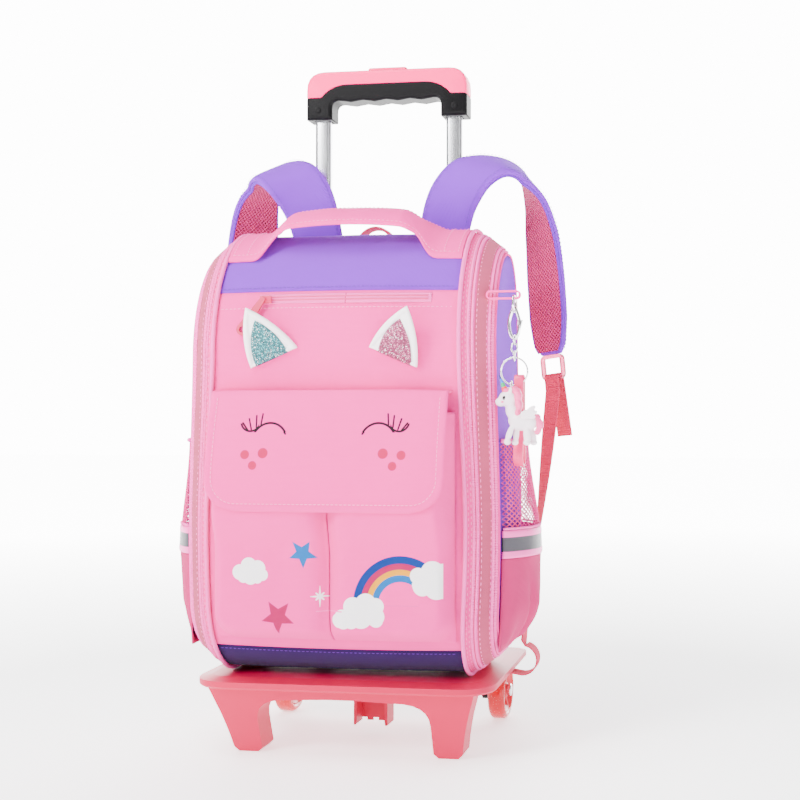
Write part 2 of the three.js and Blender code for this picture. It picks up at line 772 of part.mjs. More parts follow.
function sidePocketPoint(side, z, across, out) {
  const y = mix(sidePocketFront, sidePocketBack, across);
  const [middleY, middleZ] = [(bagFront + bagBack) / 2, (bagBottom + bagTop) / 2];
  const reachY = (bagBack - bagFront) / 2 - gussetDepth;
  const reachZ = (bagTop - bagBottom) / 2 - gussetDepth;
  const ring = Math.max(Math.abs(y - middleY) / reachY, Math.abs(z - middleZ) / reachZ);
  const dish = sideBulge * Math.max(0, 1 - ring * ring);
  return vec(side * (sideFace(z) + dish + seat + thinCloth + pocketBulge(z, across) + out), y, z);
}

function sidePocket(label, side) {
  const bandTop = sidePocketBand + bandHeight;
  const sheet = (z0, z1, rows, outer, thickness) => wall(rows, 8, (r, c, depth) => (
    sidePocketPoint(side, mix(z0, z1, r), c, outer - depth * thickness)
  ));
  add(bag, `side_pocket_${label}`, sheet(sidePocketBottom, sidePocketBand, 6, 0, thinCloth), pinkCloth);
  const band = sheet(sidePocketBand + seat, bandTop, 2, stripWall, thinCloth + stripWall);
  add(bag, `pocket_strip_${label}`, band, greyStrip);
  const net = sheet(bandTop + seat, sidePocketTop, 3, 0, thinCloth);
  const [wide, high] = [sidePocketBack - sidePocketFront, sidePocketTop - bandTop];
  const reach = 2 * (gussetDepth + sidePocketBulge);
  const holes = [];
  for (let row = 0; row < netRows; row++) {
    const shift = (row % 2) / 2;
    for (let column = 0; column < netColumns - 2 * shift; column++) {
      const hole = new THREE.CylinderGeometry(netHole / 2, netHole / 2, reach, 4).rotateZ(Math.PI / 2);
      const y = sidePocketFront + (wide * (column + 0.5 + shift)) / netColumns;
      const z = bandTop + (high * (row + 0.5)) / netRows;
      holes.push(hole.translate(side * (sideFace(z) + reach / 2 - gussetDepth / 2), y, z));
    }
  }
  add(bag, `pocket_net_${label}`, cut(net, holes), netCloth);
}

function backPad() {
  const geometry = wall(6, 6, (r, c, depth) => {
    const [u, v] = [mix(-1, 1, c), mix(-1, 1, r)];
    const puff = (1 - u ** 4) * (1 - v ** 6);
    const back = bagBack + seat + (1 - depth) * mix(padEdge, padThickness, puff);
    return vec(u * padHalf, back, mix(padBottom, padTop, r));
  });
  add(bag, "back_pad", geometry, netCloth);
}

function carryHandle() {
  const [front, back] = [frontShare(handleSeamHeight), topShare(handleBackY)];
  const middle = (front + back) / 2;
  const ends = panelHalf - pipingRadius - 2 * seat;
  const geometry = wall(16, 6, (r, c, depth) => {
    const x = mix(-ends, ends, r);
    const free = 1 - smooth(Math.abs(x), handleGripFrom, handleFlatFrom);
    const halfShare = mix((back - front) / 2, handleGripWidth / 2 / length, smooth(free, 0, handleTaper));
    const thick = handleWall + handlePad * free * Math.sin(Math.PI * c);
    const lift = handleLift * free * (1 - handleArch * (x / handleGripFrom) ** 2);
    const share = middle + mix(-halfShare, halfShare, c);
    return panelPoint(share, x / panelHalf, 2 * seat + lift + (1 - depth) * thick);
  });
  add(bag, "carry_handle", geometry, pinkCloth);
}

// A flat strip through frames that each give a point, the direction across it and the direction out of it
function strip(frames, width, thickness) {
  return skin(frames.map(({ at, across, out }) => (
    [[-1, -1], [1, -1], [1, 1], [-1, 1]].map(([a, b]) => (
      at.clone().addScaledVector(across, (a * width) / 2).addScaledVector(out, (b * thickness) / 2)
    ))
  )));
}

// Frames at even steps along a smooth line through stations chosen by hand
function framesAlong(stations, steps, place) {
  const line = new THREE.CatmullRomCurve3(stations.map((s) => place(s.at)), false, "centripetal");
  const acrossAt = new THREE.CatmullRomCurve3(stations.map((s) => place(s.across, true)));
  const widths = stations.map((s) => s.width ?? 0);
  return Array.from({ length: steps + 1 }, (_, i) => {
    const t = i / steps;
    const tangent = line.getTangent(t);
    const across = acrossAt.getPoint(t);
    across.addScaledVector(tangent, -across.dot(tangent)).normalize();
    const from = Math.min(widths.length - 2, Math.floor(t * (widths.length - 1)));
    const width = mix(widths[from], widths[from + 1], t * (widths.length - 1) - from);
    return { at: line.getPoint(t), across, out: tangent.clone().cross(across), width };
  });
}

function shoulderStrap(label, side) {
  const place = ([x, y, z], isDirection) => (
    vec(side * (isDirection ? x : strapRoot + (x - strapRoot) * strapReach[label]), y, z)
  );
  const section = [
    [-1, 0], [-0.8, 0.5], [0, 0.55], [0.8, 0.5], [1, 0], [0.8, -0.5], [0, -0.55], [-0.8, -0.5],
  ];
  const rings = framesAlong(strapStations, strapSteps, place).map(({ at, across, out, width }) => (
    section.map(([a, b]) => (
      at.clone().addScaledVector(across, (a * width) / 2).addScaledVector(out, b * strapThickness)
    ))
  ));
  add(bag, `shoulder_strap_${label}`, skin(rings), purpleCloth);
}

// The ladder buckle hangs from the strap's end: up follows the strap, out points away from the bag
function buckleFrame(label, side) {
  const last = strapStations.at(-1);
  const before = strapStations.at(-2);
  const place = ([x, y, z]) => vec(side * (strapRoot + (x - strapRoot) * strapReach[label]), y, z);
  const up = place(before.at).sub(place(last.at)).normalize();
  const across = vec(side * last.across[0], last.across[1], last.across[2]);
  across.addScaledVector(up, -across.dot(up)).normalize();
  const out = across.clone().cross(up).multiplyScalar(-side).normalize();
  const origin = place(last.at).addScaledVector(up, -seat - buckleLength + buckleBar / 2);
  return { up, across, out, origin };
}

function buckle(label, side) {
  const { up, across, out, origin } = buckleFrame(label, side);
  const frame = roundedRectangle(buckleWidth, buckleLength, buckleCorner);
  const window = roundedRectangle(buckleWidth - 2 * buckleBar, buckleLength - 2 * buckleBar, 1);
  frame.holes.push(new THREE.Path(window.getPoints(2).slice(0, -1).reverse()));
  const options = { depth: buckleThickness, bevelEnabled: false, curveSegments: 3 };
  const geometry = new THREE.ExtrudeGeometry(frame, options);
  geometry.translate(0, (buckleLength - buckleBar) / 2, -buckleThickness / 2);
  const turn = new THREE.Matrix4().makeBasis(across, up, across.clone().cross(up));
  geometry.applyMatrix4(turn.setPosition(origin));
  add(bag, `buckle_${label}`, geometry, clearPink);
}

// Webbing hangs as a tail outside the buckle, turns over its bar, runs down to the bag's corner and loops
// out round the tray's edge to its underside
function strapWebbing(label, side) {
  const { up, across, out, origin } = buckleFrame(label, side);
  const turnRadius = Math.hypot(buckleThickness, buckleBar) / 2 + seat + webThickness / 2;
  const around = (angle, drop) => origin.clone()
    .addScaledVector(out, turnRadius * Math.cos(angle))
    .addScaledVector(up, turnRadius * Math.sin(angle) - drop);
  const frames = [
    { at: around(0, tailLength).addScaledVector(out, tailSwing), across: across.clone() },
    { at: around(0, tailLength / 2).addScaledVector(out, tailSwing / 2), across: across.clone() },
    ...[0, 1, 2, 3, 4].map((i) => ({ at: around((i * Math.PI) / 4, 0), across: across.clone() })),
  ];
  const top = around(Math.PI, webBehind);
  const foot = vec(side * webFoot.x, webFoot.y, webFoot.z);
  for (let i = 0; i <= 4; i++) {
    const at = top.clone().lerp(foot, i / 4).add(vec(0, webSlack * Math.sin((Math.PI * i) / 4), 0));
    frames.push({ at, across: across.clone().lerp(vec(0, -side, 0), smooth(i, 0, 4)) });
  }
  const loopX = trayHalf + loopRadius / 2;
  const loopZ = (bagBottom + trayUnder) / 2 + loopRadius / 4;
  for (let i = 0; i <= 6; i++) {
    const angle = mix(0.5, -0.5, i / 6) * Math.PI;
    frames.push({
      at: vec(side * (loopX + loopRadius * Math.cos(angle)), loopY, loopZ + loopRadius * Math.sin(angle)),
      across: vec(0, -side, 0),
    });
  }
  const under = trayUnder - seat - webThickness / 2;
  frames.push({ at: vec(side * (trayHalf - webReturn), loopY, under), across: vec(0, -side, 0) });
  frames.forEach((frame, i) => {
    const [from, to] = [frames[Math.max(0, i - 1)], frames[Math.min(frames.length - 1, i + 1)]];
    const along = to.at.clone().sub(from.at).normalize();
    frame.across.addScaledVector(along, -frame.across.dot(along)).normalize();
    frame.out = along.cross(frame.across).normalize();
  });
  add(bag, `strap_webbing_${label}`, strip(frames, webWidth, webThickness), webCloth);
}

function hangLoop() {
  const nape = shareWhere(0.4, 0.9, (p) => p.y <= hangFoot);
  const foot = panelPoint(nape, 0, seat - hangSink).y + hangWidth / 2;
  const frames = Array.from({ length: 9 }, (_, i) => {
    const angle = Math.PI * (1 - i / 8);
    const x = hangHalf * Math.cos(angle);
    const rise = hangHeight * Math.sin(angle);
    const at = vec(x, foot, hangFoot + rise);
    const along = vec(hangHalf * Math.sin(angle), 0, -hangHeight * Math.cos(angle)).normalize();
    return { at, across: vec(0, 1, 0), out: along.cross(vec(0, 1, 0)) };
  });
  add(bag, "hang_loop", strip(frames, hangWidth, handleWall), webCloth);
}

// The tray's outline, smaller all round by an inset
function trayRing(inset, z) {
  const corners = [
    { x: 1, y: trayBack, radius: trayRearCorner, from: 0 },
    { x: -1, y: trayBack, radius: trayRearCorner, from: 1 },
    { x: -1, y: trayFront, radius: trayCorner, from: 2 },
    { x: 1, y: trayFront, radius: trayCorner, from: 3 },
  ];
  return corners.flatMap(({ x, y, radius, from }) => {
    const centreX = x * (trayHalf - radius);
    const centreY = y + (y === trayBack ? -radius : radius);
    return Array.from({ length: 6 }, (_, i) => {
      const angle = (from + i / 5) * (Math.PI / 2);
      const reach = radius - inset;
      return vec(centreX + reach * Math.cos(angle), centreY + reach * Math.sin(angle), z);
    });
  });
}

function legShape(wallInset) {
  const w = wallInset;
  const shape = new THREE.Shape();
  shape.moveTo(-legTopOuter + w, trayUnder + 1 - w);
  shape.quadraticCurveTo(-footOuter - legBow + w, trayUnder / 2, -footOuter + w, footChamfer + w);
  shape.lineTo(-footOuter + footChamfer + w, w);
  shape.lineTo(-footInner - footChamfer - w, w);
  shape.lineTo(-footInner - w, footChamfer + w);
  shape.lineTo(-footInner - w, archTop - archRadius);
  shape.quadraticCurveTo(
    -footInner - w, archTop - archEnd + w, -footInner + archRadius, archTop - archRise + w,
  );
  shape.quadraticCurveTo(0, archTop + archRise + w, footInner - archRadius, archTop - archRise + w);
  shape.quadraticCurveTo(footInner + w, archTop - archEnd + w, footInner + w, archTop - archRadius);
  shape.lineTo(footInner + w, footChamfer + w);
  shape.lineTo(footInner + footChamfer + w, w);
  shape.lineTo(footOuter - footChamfer - w, w);
  shape.lineTo(footOuter - w, footChamfer + w);
  shape.quadraticCurveTo(footOuter + legBow - w, trayUnder / 2, legTopOuter - w, trayUnder + 1 - w);
  return shape;
}

function trolleyBase() {
  const tray = skin([
    trayRing(trayRound, trayUnder), trayRing(0, trayUnder + trayRound), trayRing(0, trayUnder + trayLip),
    trayRing(platformInset, trayTop),
  ]);
  const lean = new THREE.Matrix4().makeShear(0, 0, 0, 0, 0, -legLean / trayUnder);
  const frontLegs = cut(upright(legShape(0), 0, legDepth, 5), [
    upright(legShape(mouldedWall), mouldedWall, legDepth, 5),
  ]).applyMatrix4(lean);
  const channel = cut(
    block(-centreLegWidth / 2, centreLegWidth / 2, centreLegFront, centreLegFront + centreLegDepth,
      centreLegFoot, trayUnder + 1),
    [block(-centreLegWidth / 2 + mouldedWall, centreLegWidth / 2 - mouldedWall, centreLegFront - 1,
      centreLegFront + centreLegDepth - mouldedWall, 0, trayUnder)],
  );
  const notches = centreNotches.map((share) => (
    block(share * centreLegWidth - centreLegNotch, share * centreLegWidth + centreLegNotch,
      centreLegFront - 1, centreLegFront + centreLegDepth + 1, 0, centreLegFoot + centreLegNotch)
  ));
  add(trolley, "trolley_base", union([tray, frontLegs, cut(channel, notches)]), redPlastic);
}

// Wheel parts turn on X: a closed profile of [distance along the axle, radius], with a flat at the floor
function turned(profilePoints, sides) {
  const points = profilePoints.map(([along, radius]) => (
    new THREE.Vector2(radius / Math.cos(Math.PI / sides), along)
  ));
  points.push(points[0].clone());
  const geometry = new THREE.LatheGeometry(points, sides, Math.PI / sides);
  return facingOut(merged(geometry.rotateZ(-Math.PI / 2)));
}

function wheel(label, side) {
  const centre = new THREE.Group();
  centre.position.set(side * wheelX, wheelY, wheelRadius);
  const rim = wheelRadius - tyreDepth;
  const [tread, half] = [tyreWidth / 2, hubWidth / 2];
  add(centre, `tyre_${label}`, turned([
    [-half, rim + seat], [half, rim + seat],
    [tread, wheelRadius - tyreDepth / 2], [tread * treadShare, wheelRadius],
    [-tread * treadShare, wheelRadius], [-tread, wheelRadius - tyreDepth / 2],
  ], wheelSides), clearPink);
  const bore = axleRadius + axleRunning;
  const web = half * webShare;
  add(centre, `hub_${label}`, turned([
    [-half, bore], [half, bore], [half, bore + hubWall],
    [web, bore + 2 * hubWall], [web, rim - 1.5 * hubWall], [half, rim],
    [-half, rim], [-web, rim - 1.5 * hubWall], [-web, bore + 2 * hubWall], [-half, bore + hubWall],
  ], wheelSides), redPlastic);
  trolley.add(centre);
}

// The axle has a cap outside each wheel; the carrier holds it from the tray's underside
function axleAndCarrier() {
  const capFace = wheelX + hubWidth / 2 + axleRunning;
  const capEnd = capFace + capWidth;
  const rod = [
    [-capEnd, 0], [-capEnd, capRadius - capChamfer], [-capEnd + capChamfer, capRadius],
    [-capFace, capRadius], [-capFace, axleRadius], [capFace, axleRadius], [capFace, capRadius],
    [capEnd - capChamfer, capRadius], [capEnd, capRadius - capChamfer], [capEnd, 0],
  ].map(([along, radius]) => new THREE.Vector2(radius, along));
  const axle = new THREE.LatheGeometry(rod, axleSides).rotateZ(-Math.PI / 2);
  axle.translate(0, wheelY, wheelRadius);
  add(trolley, "axle", facingOut(merged(axle)), steel);
  const inner = wheelX - tyreWidth / 2 - 2 * seat - bracketWidth;
  const arm = (side) => {
    const outline = new THREE.Shape();
    outline.moveTo(-bracketTop / 2, trayUnder - seat);
    outline.lineTo(-bracketEnd, wheelRadius);
    outline.absarc(0, wheelRadius, bracketEnd, Math.PI, 2 * Math.PI);
    outline.lineTo(bracketTop / 2, trayUnder - seat);
    const plate = upright(outline, 0, bracketWidth, 3).rotateZ(Math.PI / 2);
    plate.translate(side * (inner + bracketWidth / 2) + bracketWidth / 2, wheelY, 0);
    return plate;
  };
  const sparUnder = wheelRadius + axleRadius + sparAboveAxle;
  const spar = block(
    -inner - 1, inner + 1, wheelY - sparDepth / 2, wheelY + sparDepth / 2,
    sparUnder, sparUnder + sparHeight,
  );
  const bore = new THREE.CylinderGeometry(axleRadius + seat, axleRadius + seat, 2 * wheelX, axleSides);
  bore.rotateZ(Math.PI / 2).translate(0, wheelY, wheelRadius);
  add(trolley, "axle_carrier", cut(union([arm(1), arm(-1), spar]), [bore]), blackPlastic);
}

// A rectangular tube with rounded corners, open at both ends
function tube(width, depth, tubeWall, low, high) {
  const outline = roundedRectangle(width, depth, tubeCorner);
  const hole = roundedRectangle(width - 2 * tubeWall, depth - 2 * tubeWall, tubeCorner - tubeWall / 2);
  outline.holes.push(new THREE.Path(hole.getPoints(2).slice(0, -1).reverse()));
  const options = { depth: high - low, bevelEnabled: false, curveSegments: 2 };
  return new THREE.ExtrudeGeometry(outline, options).translate(0, 0, low);
}

const innerTube = {
  x: outerTube.x - 2 * (outerTube.wall + tubeClearance),
  y: outerTube.y - 2 * (outerTube.wall + tubeClearance),
};

function tubes() {
  const foot = trayTop + seat;
  const retract = gripFoot - outerTubeTop - 2 * seat;
  for (const [label, side] of sides) {
    const outer = tube(outerTube.x, outerTube.y, outerTube.wall, foot, outerTubeTop);
    add(trolley, `outer_tube_${label}`, outer.translate(side * tubeX, tubeY, 0), aluminium);
    const [low, high] = [foot + retract + innerFootStop, gripFoot + socketDepth - seat];
    const inner = tube(innerTube.x, innerTube.y, innerWall, low, high);
    add(trolley, `inner_tube_${label}`, inner.translate(side * tubeX, tubeY, 0), aluminium);
  }
}

// The seam between the grip's black housing and its cap rises from the ends to the middle
function gripRegion(above) {
  const far = above ? gripTop + 20 : gripFoot - 20;
  const shift = above ? seat / 2 : -seat / 2;
  const shape = new THREE.Shape();
  const reach = gripHalf + 10;
  shape.moveTo(-reach, capSeamEnd + shift);
  shape.lineTo(-gripHalf + armWidth * capSeamFrom, capSeamEnd + shift);
  shape.quadraticCurveTo(
    -gripHalf + armWidth, capSeamMiddle + shift, -gripHalf + armWidth * capSeamTo, capSeamMiddle + shift,
  );
  shape.lineTo(gripHalf - armWidth * capSeamTo, capSeamMiddle + shift);
  shape.quadraticCurveTo(
    gripHalf - armWidth, capSeamMiddle + shift, gripHalf - armWidth * capSeamFrom, capSeamEnd + shift,
  );
  shape.lineTo(reach, capSeamEnd + shift);
  shape.lineTo(reach, far);
  shape.lineTo(-reach, far);
  return solid(upright(shape, tubeY - gripDepth, 2 * gripDepth, 5));
}

function grip() {
  const outline = new THREE.Shape();
  const barHalf = gripHalf - armWidth;
  outline.moveTo(-gripHalf, gripFoot);
  outline.lineTo(-barHalf, gripFoot);
  outline.lineTo(-barHalf, barUnder - gripInnerCorner);
  outline.quadraticCurveTo(-barHalf, barUnder, -barHalf + gripInnerCorner, barUnder);
  const waveSteps = 4 * fingerWaves;
  for (let i = 1; i <= waveSteps; i++) {
    const x = mix(-barHalf + gripInnerCorner, barHalf - gripInnerCorner, i / waveSteps);
    outline.lineTo(x, barUnder - (fingerWave / 2) * (1 - Math.cos((2 * Math.PI * i) / 4)));
  }
  outline.quadraticCurveTo(barHalf, barUnder, barHalf, barUnder - gripInnerCorner);
  outline.lineTo(barHalf, gripFoot);
  outline.lineTo(gripHalf, gripFoot);
  outline.lineTo(gripHalf, gripTop - gripShoulder);
  outline.quadraticCurveTo(gripHalf, gripTop, gripHalf - gripShoulder, gripTop);
  outline.lineTo(-gripHalf + gripShoulder, gripTop);
  outline.quadraticCurveTo(-gripHalf, gripTop, -gripHalf, gripTop - gripShoulder);
  const whole = solid(upright(outline, tubeY - gripDepth / 2, gripDepth, 5, gripBevel));
  const sockets = [1, -1].map((side) => solid(block(
    side * tubeX - innerTube.x / 2 - seat, side * tubeX + innerTube.x / 2 + seat,
    tubeY - innerTube.y / 2 - seat, tubeY + innerTube.y / 2 + seat, gripFoot - 1, gripFoot + socketDepth,
  )));
  const well = solid(block(
    -buttonHalf - seat, buttonHalf + seat, tubeY - buttonDepth / 2 - seat, tubeY + buttonDepth / 2 + seat,
    gripTop - buttonSink - buttonTravel - 2 * seat, gripTop + 1,
  ));
  const housing = whole.intersect(gripRegion(false)).subtract(sockets[0]).subtract(sockets[1]);
  add(trolley, "grip_housing", geometryOf(housing), blackPlastic);
  add(trolley, "grip_cap", geometryOf(whole.intersect(gripRegion(true)).subtract(well)), pinkPlastic);
  const top = roundedRectangle(2 * buttonHalf, buttonDepth, buttonCorner);
  const height = buttonSink + buttonProud;
  const button = new THREE.ExtrudeGeometry(top, {
    depth: height - buttonBevel, curveSegments: 3, bevelSegments: 1,
    bevelThickness: buttonBevel, bevelSize: buttonBevel, bevelOffset: -buttonBevel,
  });
  const base = gripTop - buttonSink;
  const keep = solid(block(-buttonHalf, buttonHalf, -buttonDepth, buttonDepth, base, base + height));
  const shaped = keep.intersect(solid(button.translate(0, 0, base)));
  add(trolley, "push_button", geometryOf(shaped).translate(0, tubeY, 0), pinkPlastic);
}

// A wire ring standing in the YZ plane, its centre at the origin; turned on Z it faces the front,
// and flat, from 0 to 1, squares off its round outline
function wireRing(halfWidth, halfHeight, wire, steps, flat = 0) {
  const corners = 5;
  const squared = (value) => Math.sign(value) * Math.abs(value) ** (1 - flat);
  const rings = Array.from({ length: steps }, (_, i) => {
    const angle = (2 * Math.PI * i) / steps;
    const out = vec(0, Math.cos(angle), Math.sin(angle));
    const centre = vec(0, halfWidth * squared(out.y), halfHeight * squared(out.z));
    return Array.from({ length: corners }, (__, j) => {
      const around = (2 * Math.PI * j) / corners;
      const p = centre.clone().addScaledVector(out, wire * Math.cos(around));
      p.x += wire * Math.sin(around);
      return p;
    });
  });
  return skin(rings, true);
}

const tabFoot = gussetPoint(frontShare(tabHeightOnFront), 1, tabTurn, 0);
tabFoot.x += ((tabWidth / 2) * gussetWidth) / gussetDepth + tabLift;
const hangingLine = sideFace(splitRingHeight) + sideBulge + splitRingRadius + ringWire + 2 * seat;
const tabLength = hangingLine - tabFoot.x + tabBeyond;

// An open strip of a closed outline, seen along X when it stands in the YZ plane
function outlineLoop(outer, inner, depth, steps) {
  outer.holes.push(new THREE.Path(inner.getPoints(steps).slice(0, -1).reverse()));
  const options = { depth, bevelEnabled: false, curveSegments: steps };
  return new THREE.ExtrudeGeometry(outer, options).translate(0, 0, -depth / 2);
}

// Everything on the charm hangs on one line below the tab; each piece rests on the one above it
function charmParts() {
  const tabZ = tabFoot.z;
  const frontOf = (geometry) => geometry.rotateZ(Math.PI / 2);
  const tabRound = tabHeight / 2 - tabFlat;
  const tabOuter = roundedRectangle(tabLength, tabHeight, tabRound);
  const tabInner = roundedRectangle(tabLength - 2 * tabWall, tabHeight - 2 * tabWall, tabRound - tabWall);
  const tab = outlineLoop(tabOuter, tabInner, tabWidth, 2).rotateX(Math.PI / 2);
  add(charm, "charm_tab", tab.translate(tabBeyond - tabLength / 2, 0, tabZ), pinkCloth);
  let rest = tabZ - tabHeight / 2 + tabWall + seat;
  const hang = (halfHeight, wire) => rest + wire - halfHeight;
  const dropTo = (centre, halfHeight, wire) => {
    rest = centre - halfHeight + wire + seat;
  };
  const dZ = hang(dRingRadius, ringWire);
  const dRing = wireRing(dRingRadius, dRingRadius, ringWire, 16, dRingFlat);
  add(charm, "d_ring", dRing.translate(0, 0, dZ), steel);
  dropTo(dZ, dRingRadius, ringWire);
  const claspZ = hang(claspLength / 2, claspWire);
  const clasp = frontOf(wireRing(claspHalfWidth, claspLength / 2, claspWire, 16));
  add(charm, "lobster_clasp", clasp.translate(0, 0, claspZ), steel);
  dropTo(claspZ, claspLength / 2, claspWire);
  const links = [];
  for (let i = 0; i < chainLinks; i++) {
    const linkZ = rest + linkWire - linkLength / 2 - (i > 0 ? 1.5 * seat : 0);
    const link = wireRing(linkHalfWidth, linkLength / 2, linkWire, 10);
    links.push((i % 2 ? frontOf(link) : link).translate(0, 0, linkZ));
    dropTo(linkZ, linkLength / 2, linkWire);
  }
  add(charm, "charm_chain", union(links), steel);
  const ringZ = hang(splitRingRadius, ringWire);
  const splitRing = frontOf(wireRing(splitRingRadius, splitRingRadius, ringWire, 16));
  add(charm, "split_ring", splitRing.translate(0, 0, ringZ), steel);
  return ringZ;
}

// Where something on the split ring rests, at a distance from its lowest point
const ringRest = (ringZ, x) => ringZ - Math.sqrt(splitRingRadius ** 2 - x ** 2) + ringWire + seat;

// A small winged unicorn: rounded masses fused into one body, in its own frame, with its eyelet at the origin
function figure(ringZ) {
  const masses = [
    { at: [4, 0, -33], size: [13, 6.5, 9] }, // body
    { at: [-5, 0, -22], size: [6, 5, 10] }, // neck
    { at: [-9, 0, -12], size: [9, 6, 7.5] }, // head
    { at: [-16, 0, -15], size: [5.5, 4.5, 4] }, // muzzle
    { at: [0, 0, -14], size: [5, 5, 9] }, // mane
    { at: [17, 0, -31], size: [5, 3, 8.5] }, // tail
    { at: [10, -3.5, -25], size: [10, 3.4, 8] }, // wing
  ];
  const parts = masses.map(({ at, size }) => (
    new THREE.SphereGeometry(1, 7, 5).scale(...size).translate(...at)
  ));
  for (const [x, y] of [[-5, -3], [-1, 3], [9, -3], [13, 3]]) {
    parts.push(new THREE.CylinderGeometry(2.4, 3.2, 20, 6).rotateX(Math.PI / 2).translate(x, y, -45));
  }
  parts.push(new THREE.ConeGeometry(2.6, 16, 6).rotateX(Math.PI / 2).rotateY(-0.4).translate(-14, 0, -1));
  parts.forEach((part) => part.translate(figureOffset, 0, 0));
  const [postFrom, postTo] = [-1, figureForward - 2 * eyeletRadius + figureWire / 2];
  parts.push(block(-1.4, 1.4, postFrom, postTo, -8, 1));
  const eyelet = wireRing(eyeletRadius, eyeletRadius, figureWire, 10);
  parts.push(eyelet.translate(0, figureForward - eyeletRadius, 0));
  const rest = ringRest(ringZ, Math.abs(figureAt) + 2 * figureWire);
  const whole = union(parts);
  whole.translate(figureAt, eyeletRadius - figureForward, rest + figureWire - eyeletRadius);
  add(charm, "charm_figure", whole, figureWhite);
}

function charmBand(ringZ) {
  const outline = (inset) => {
    const shape = new THREE.Shape();
    const [half, throat] = [bandLoopHalf - inset, bandThroat - inset];
    const centre = -bandLoopLength + bandLoopHalf;
    shape.moveTo(-half, centre);
    shape.absarc(0, centre, half, Math.PI, 2 * Math.PI);
    shape.quadraticCurveTo(half, centre + bandLoopHalf, throat, centre + 2 * bandLoopHalf);
    shape.lineTo(throat, -bandThroat);
    shape.absarc(0, -bandThroat, throat, 0, Math.PI);
    shape.lineTo(-throat, centre + 2 * bandLoopHalf);
    shape.quadraticCurveTo(-half, centre + bandLoopHalf, -half, centre);
    return shape;
  };
  const loop = outlineLoop(outline(0), outline(bandWall), bandStrip, 5);
  loop.rotateX(Math.PI / 2).rotateZ(Math.PI / 2);
  loop.translate(bandAt, 0, ringRest(ringZ, Math.abs(bandAt) + bandStrip / 2 + ringWire) + bandWall);
  add(charm, "charm_band", loop, rubberPink);
}

const sides = [["left", -1], ["right", 1]];

panel("front_panel", chinSeam, yokeSeam, 4, pinkCloth);
panel("yoke_panel", yokeSeam, napeSeam, 4, purpleCloth);
panel("back_panel", napeSeam, heelSeam, 2, purpleCloth);
panel("base_panel", heelSeam - 1, chinSeam, 2, purpleCloth);
for (const [label, side] of sides) {
  gusset(label, side);
  sidePanel(label, side);
  piping(label, side);
  sideZip(label, side, zipPlaces[0], "front");
  sideZip(label, side, zipPlaces[1], "rear");
  frontPocket(label, side);
  ear(label, side);
  sidePocket(label, side);
  shoulderStrap(label, side);
  buckle(label, side);
  strapWebbing(label, side);
  wheel(label, side);
}
pocketFlap();
frontZip();
backPad();
carryHandle();
hangLoop();
trolleyBase();
axleAndCarrier();
tubes();
grip();
const splitRingZ = charmParts();
figure(splitRingZ);
charmBand(splitRingZ);
charm.position.set(hangingLine, tabFoot.y, 0);

const backpack = new THREE.Group();
backpack.add(bag, trolley, charm);
backpack.updateMatrixWorld(true);
const box = new THREE.Box3().setFromObject(backpack, true);
backpack.position.set(-(box.min.x + box.max.x) / 2, -(box.min.y + box.max.y) / 2, -box.min.z);

export default backpack;
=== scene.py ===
"""A child's wheeled backpack, dressed round its CAD frame. Sizes are in millimetres until they are placed."""

import math

import bmesh
import bpy
import numpy as np
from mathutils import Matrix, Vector


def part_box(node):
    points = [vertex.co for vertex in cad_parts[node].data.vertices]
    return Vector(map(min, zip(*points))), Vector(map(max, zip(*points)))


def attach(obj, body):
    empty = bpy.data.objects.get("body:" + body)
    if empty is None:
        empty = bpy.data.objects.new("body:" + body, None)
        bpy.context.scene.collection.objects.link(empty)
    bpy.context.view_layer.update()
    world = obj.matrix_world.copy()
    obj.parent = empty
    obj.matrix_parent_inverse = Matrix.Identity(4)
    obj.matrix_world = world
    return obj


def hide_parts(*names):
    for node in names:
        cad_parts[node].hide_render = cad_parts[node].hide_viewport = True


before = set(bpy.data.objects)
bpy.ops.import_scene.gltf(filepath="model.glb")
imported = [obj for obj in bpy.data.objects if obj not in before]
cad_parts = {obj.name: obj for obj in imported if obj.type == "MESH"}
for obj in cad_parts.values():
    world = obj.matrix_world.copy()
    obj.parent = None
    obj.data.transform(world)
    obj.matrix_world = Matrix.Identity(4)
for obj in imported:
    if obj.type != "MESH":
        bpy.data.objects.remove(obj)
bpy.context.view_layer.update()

MM = 0.001
SIDES = (("left", -1), ("right", 1))
WHEEL_X, WHEEL_Y, WHEEL_RADIUS = 117, 161, 30
base_low, base_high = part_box("trolley_base")
axle_low, axle_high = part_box("axle")
# From the CAD source's own origin, which the sizes below are measured from, to the frame's, in metres
SHIFT = np.array([(base_low.x + base_high.x) / 2, (axle_low.y + axle_high.y) / 2 - WHEEL_Y * MM, 0])


# Colours and materials

def srgb(r, g, b):
    return tuple(c / 12.92 if c <= 0.04045 else ((c + 0.055) / 1.055) ** 2.4 for c in (r, g, b)) + (1,)


PINK = srgb(0.965, 0.17, 0.60)
PINK_PALE = srgb(0.975, 0.34, 0.70)
PINK_GREY = srgb(0.70, 0.26, 0.40)
PINK_DEEP = srgb(0.72, 0.03, 0.30)
# Pink darkened as painted shade, for the side pockets on the bag's shaded sides
PINK_PAINTED_SHADE = srgb(0.74, 0.12, 0.40)
PURPLE = srgb(0.46, 0.09, 0.74)
PURPLE_DARK = srgb(0.14, 0.02, 0.26)
BASE_RED = srgb(0.76, 0.0, 0.26)
GRIP_PINK = srgb(0.96, 0.0, 0.42)
WEB_PINK = srgb(0.88, 0.17, 0.36)
NET_PINK = srgb(0.86, 0.20, 0.50)
WHITE = srgb(0.95, 0.94, 0.95)
INK = srgb(0.05, 0.04, 0.05)
SKY = srgb(0.0, 0.36, 0.62)
MAGENTA = srgb(0.62, 0.0, 0.30)


